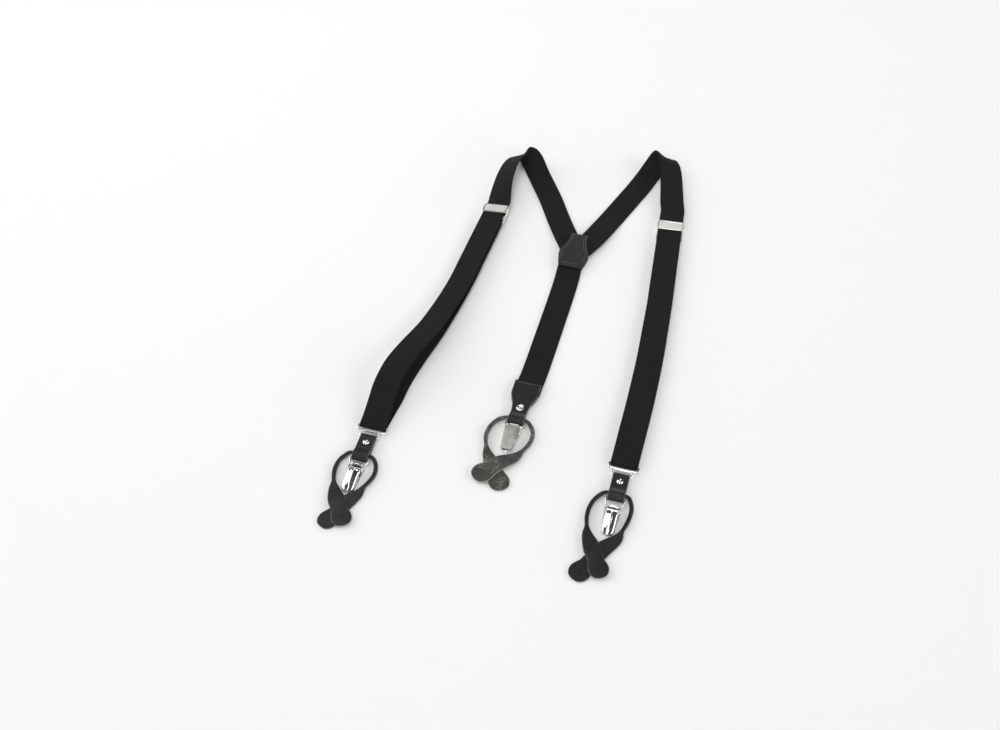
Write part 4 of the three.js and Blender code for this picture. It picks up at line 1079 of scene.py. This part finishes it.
def runner_tail(lobe, tab, heights):
    """Stations from a lobe's far edge to the start of its cord."""
    cx, cy, r = lobe
    along = (Vector((cx, cy)) - Vector(tab[1])).normalized()
    sideways = Vector((-along.y, along.x, 0))
    if sideways.x < 0:
        sideways = -sideways
    rows = [station(cx + along.x * r * s, cy + along.y * r * s, heights[2], sideways, 2 * r * w, TAB_FLAT)
            for s, w in LOBE]
    rows.append(station(*tab[1], heights[1], sideways, 15.4, TAB_FLAT))
    rows.append(station(*tab[0], heights[0], sideways, 9.5, 2.6, 0.45))
    return rows


def runner(side, place):
    plan = RUNNERS[side]
    d, z = 2 * CORD_RADIUS, CORD_RADIUS + FLOOR
    level = {"left": UNDER_Z, "right": UNDER_Z, plan["over"]: OVER_Z}
    right_cross = runner_tail(plan["left_lobe"], plan["right_tab"], level["right"])
    left_cross = runner_tail(plan["right_lobe"], plan["left_tab"], level["left"])
    loop = [station(*p, z, (1, 0.1, 0), d, d, 1) for p in plan["right_side"]]
    bend = ((11.2, CORD_Y - 0.9, FOLD_Z - 0.3, (0.6, 0.8, 0)), (8.2, CORD_Y, FOLD_Z, (0, 1, 0)),
            (0, CORD_Y, FOLD_Z, (0, 1, 0)), (-8.2, CORD_Y, FOLD_Z, (0, 1, 0)),
            (-11.2, CORD_Y - 0.9, FOLD_Z - 0.3, (-0.6, 0.8, 0)))
    loop += [station(x, y, h, across, d - 0.3, d - 0.3, 1) for x, y, h, across in bend]
    loop += [station(*p, z, (-1, 0.1, 0), d, d, 1) for p in plan["left_side"]]
    back = [(*row[:3], -row[3], -row[4], -row[5], *row[6:]) for row in reversed(left_cross)]
    shape = sweep(right_cross + loop + back, rolled, 5)[:2]
    finish = (SUEDE, "suede_leather") if side == "rear" else (GRAIN_LEATHER, "smooth_leather")
    made = fitting(side, "runner_leather", shape, "runner", "button_runner", place, *finish,
                   strip=strip_map(shape[0], rolled(0)))
    slit = [(0, -2.8), (0.2, -2), (0.25, 0), (0.2, 2), (0, 2.8), (-0.2, 2), (-0.25, 0), (-0.2, -2)]
    for cx, cy, _ in (plan["left_lobe"], plan["right_lobe"]):
        turn = Matrix.Translation((cx, cy, 0)) @ Matrix.Rotation(-0.5, 4, "Z")
        carve(made, moved(prism(slit, -2, 9), turn), place)


for side, (ex, ey) in ENDS.items():
    place = Matrix.Translation((ex, ey, 0))
    if side == "rear":
        rear_tab(place)
    else:
        strap_ring(side, place)
        front_tab(side, place)
    rivet(side, place)
    bail(side, place)
    clip(side)
    runner(side, place)
    print(side, "end made")

# %% [markdown]
# ## Floor and light
# The suspenders lie on a plain white table under soft studio light. A broad light above and to the left
# gives the short, pale shadows to the right, and a bright room fills them. Dark bands at the sides of
# the room are what polished nickel needs: without something dark to reflect it looks like white paint. A
# grey flag over the far end of the table, where flat leather would mirror the room into the camera,
# keeps the leather black.

# %% Stage
HALF = 4000  # millimetres
corners = [(-HALF, -HALF, 0), (HALF, -HALF, 0), (HALF, HALF, 0), (-HALF, HALF, 0)]
table_top, floor = solid("table_top", (corners, [(0, 1, 2, 3)]), Matrix.Identity(4))
paper = new_material("matt_white_paper")
output(paper, add(paper, "BsdfPrincipled", inputs={
    "Base Color": srgb("#f7f7f7"), "Roughness": 1.0, "Specular IOR Level": 0.0}))
floor.materials.append(paper)

world = bpy.data.worlds.new("studio")
world.use_nodes = True
bpy.context.scene.world = world
world.node_tree.nodes.clear()


FLAG_WAY = (0.0, 0.63, 0.777)  # up and over the far end of the table
BRIGHTNESS = 2.7


def room():
    """A bright room with dark bands at the sides and a grey flag over the far end of the table."""
    way = add(world, "TexCoord").outputs["Generated"]
    parts = add(world, "SeparateXYZ", inputs={"Vector": way}).outputs
    sideways = maths(world, "ABSOLUTE", parts["X"])
    bands = ramp(world, sideways, (0.0, 1.0), (0.12, 1.0), (0.2, 0.03), (0.7, 0.03), (0.76, 1.0), (1.0, 0.9))
    toward = add(world, "VectorMath", {"operation": "DOT_PRODUCT"}, {0: way, 1: FLAG_WAY}).outputs["Value"]
    flag = ramp(world, toward, (0.86, 1.0), (0.95, 0.25))
    light = maths(world, "MULTIPLY", maths(world, "MULTIPLY", bands, flag), BRIGHTNESS)
    background = add(world, "Background", inputs={"Color": light, "Strength": 1.0})
    add(world, "OutputWorld", inputs={"Surface": background.outputs[0]})


room()


def soft_light(name, at, aim, size, power):
    data = bpy.data.lights.new(name, "AREA")
    data.shape = "DISK"
    data.size = size
    data.energy = power
    made = bpy.data.objects.new(name, data)
    made.location = at
    made.rotation_euler = (Vector(aim) - Vector(at)).to_track_quat("-Z", "Y").to_euler()
    bpy.context.scene.collection.objects.link(made)


soft_light("key", (-0.9, 0.3, 1.7), (0, 0, 0), 1.3, 7)
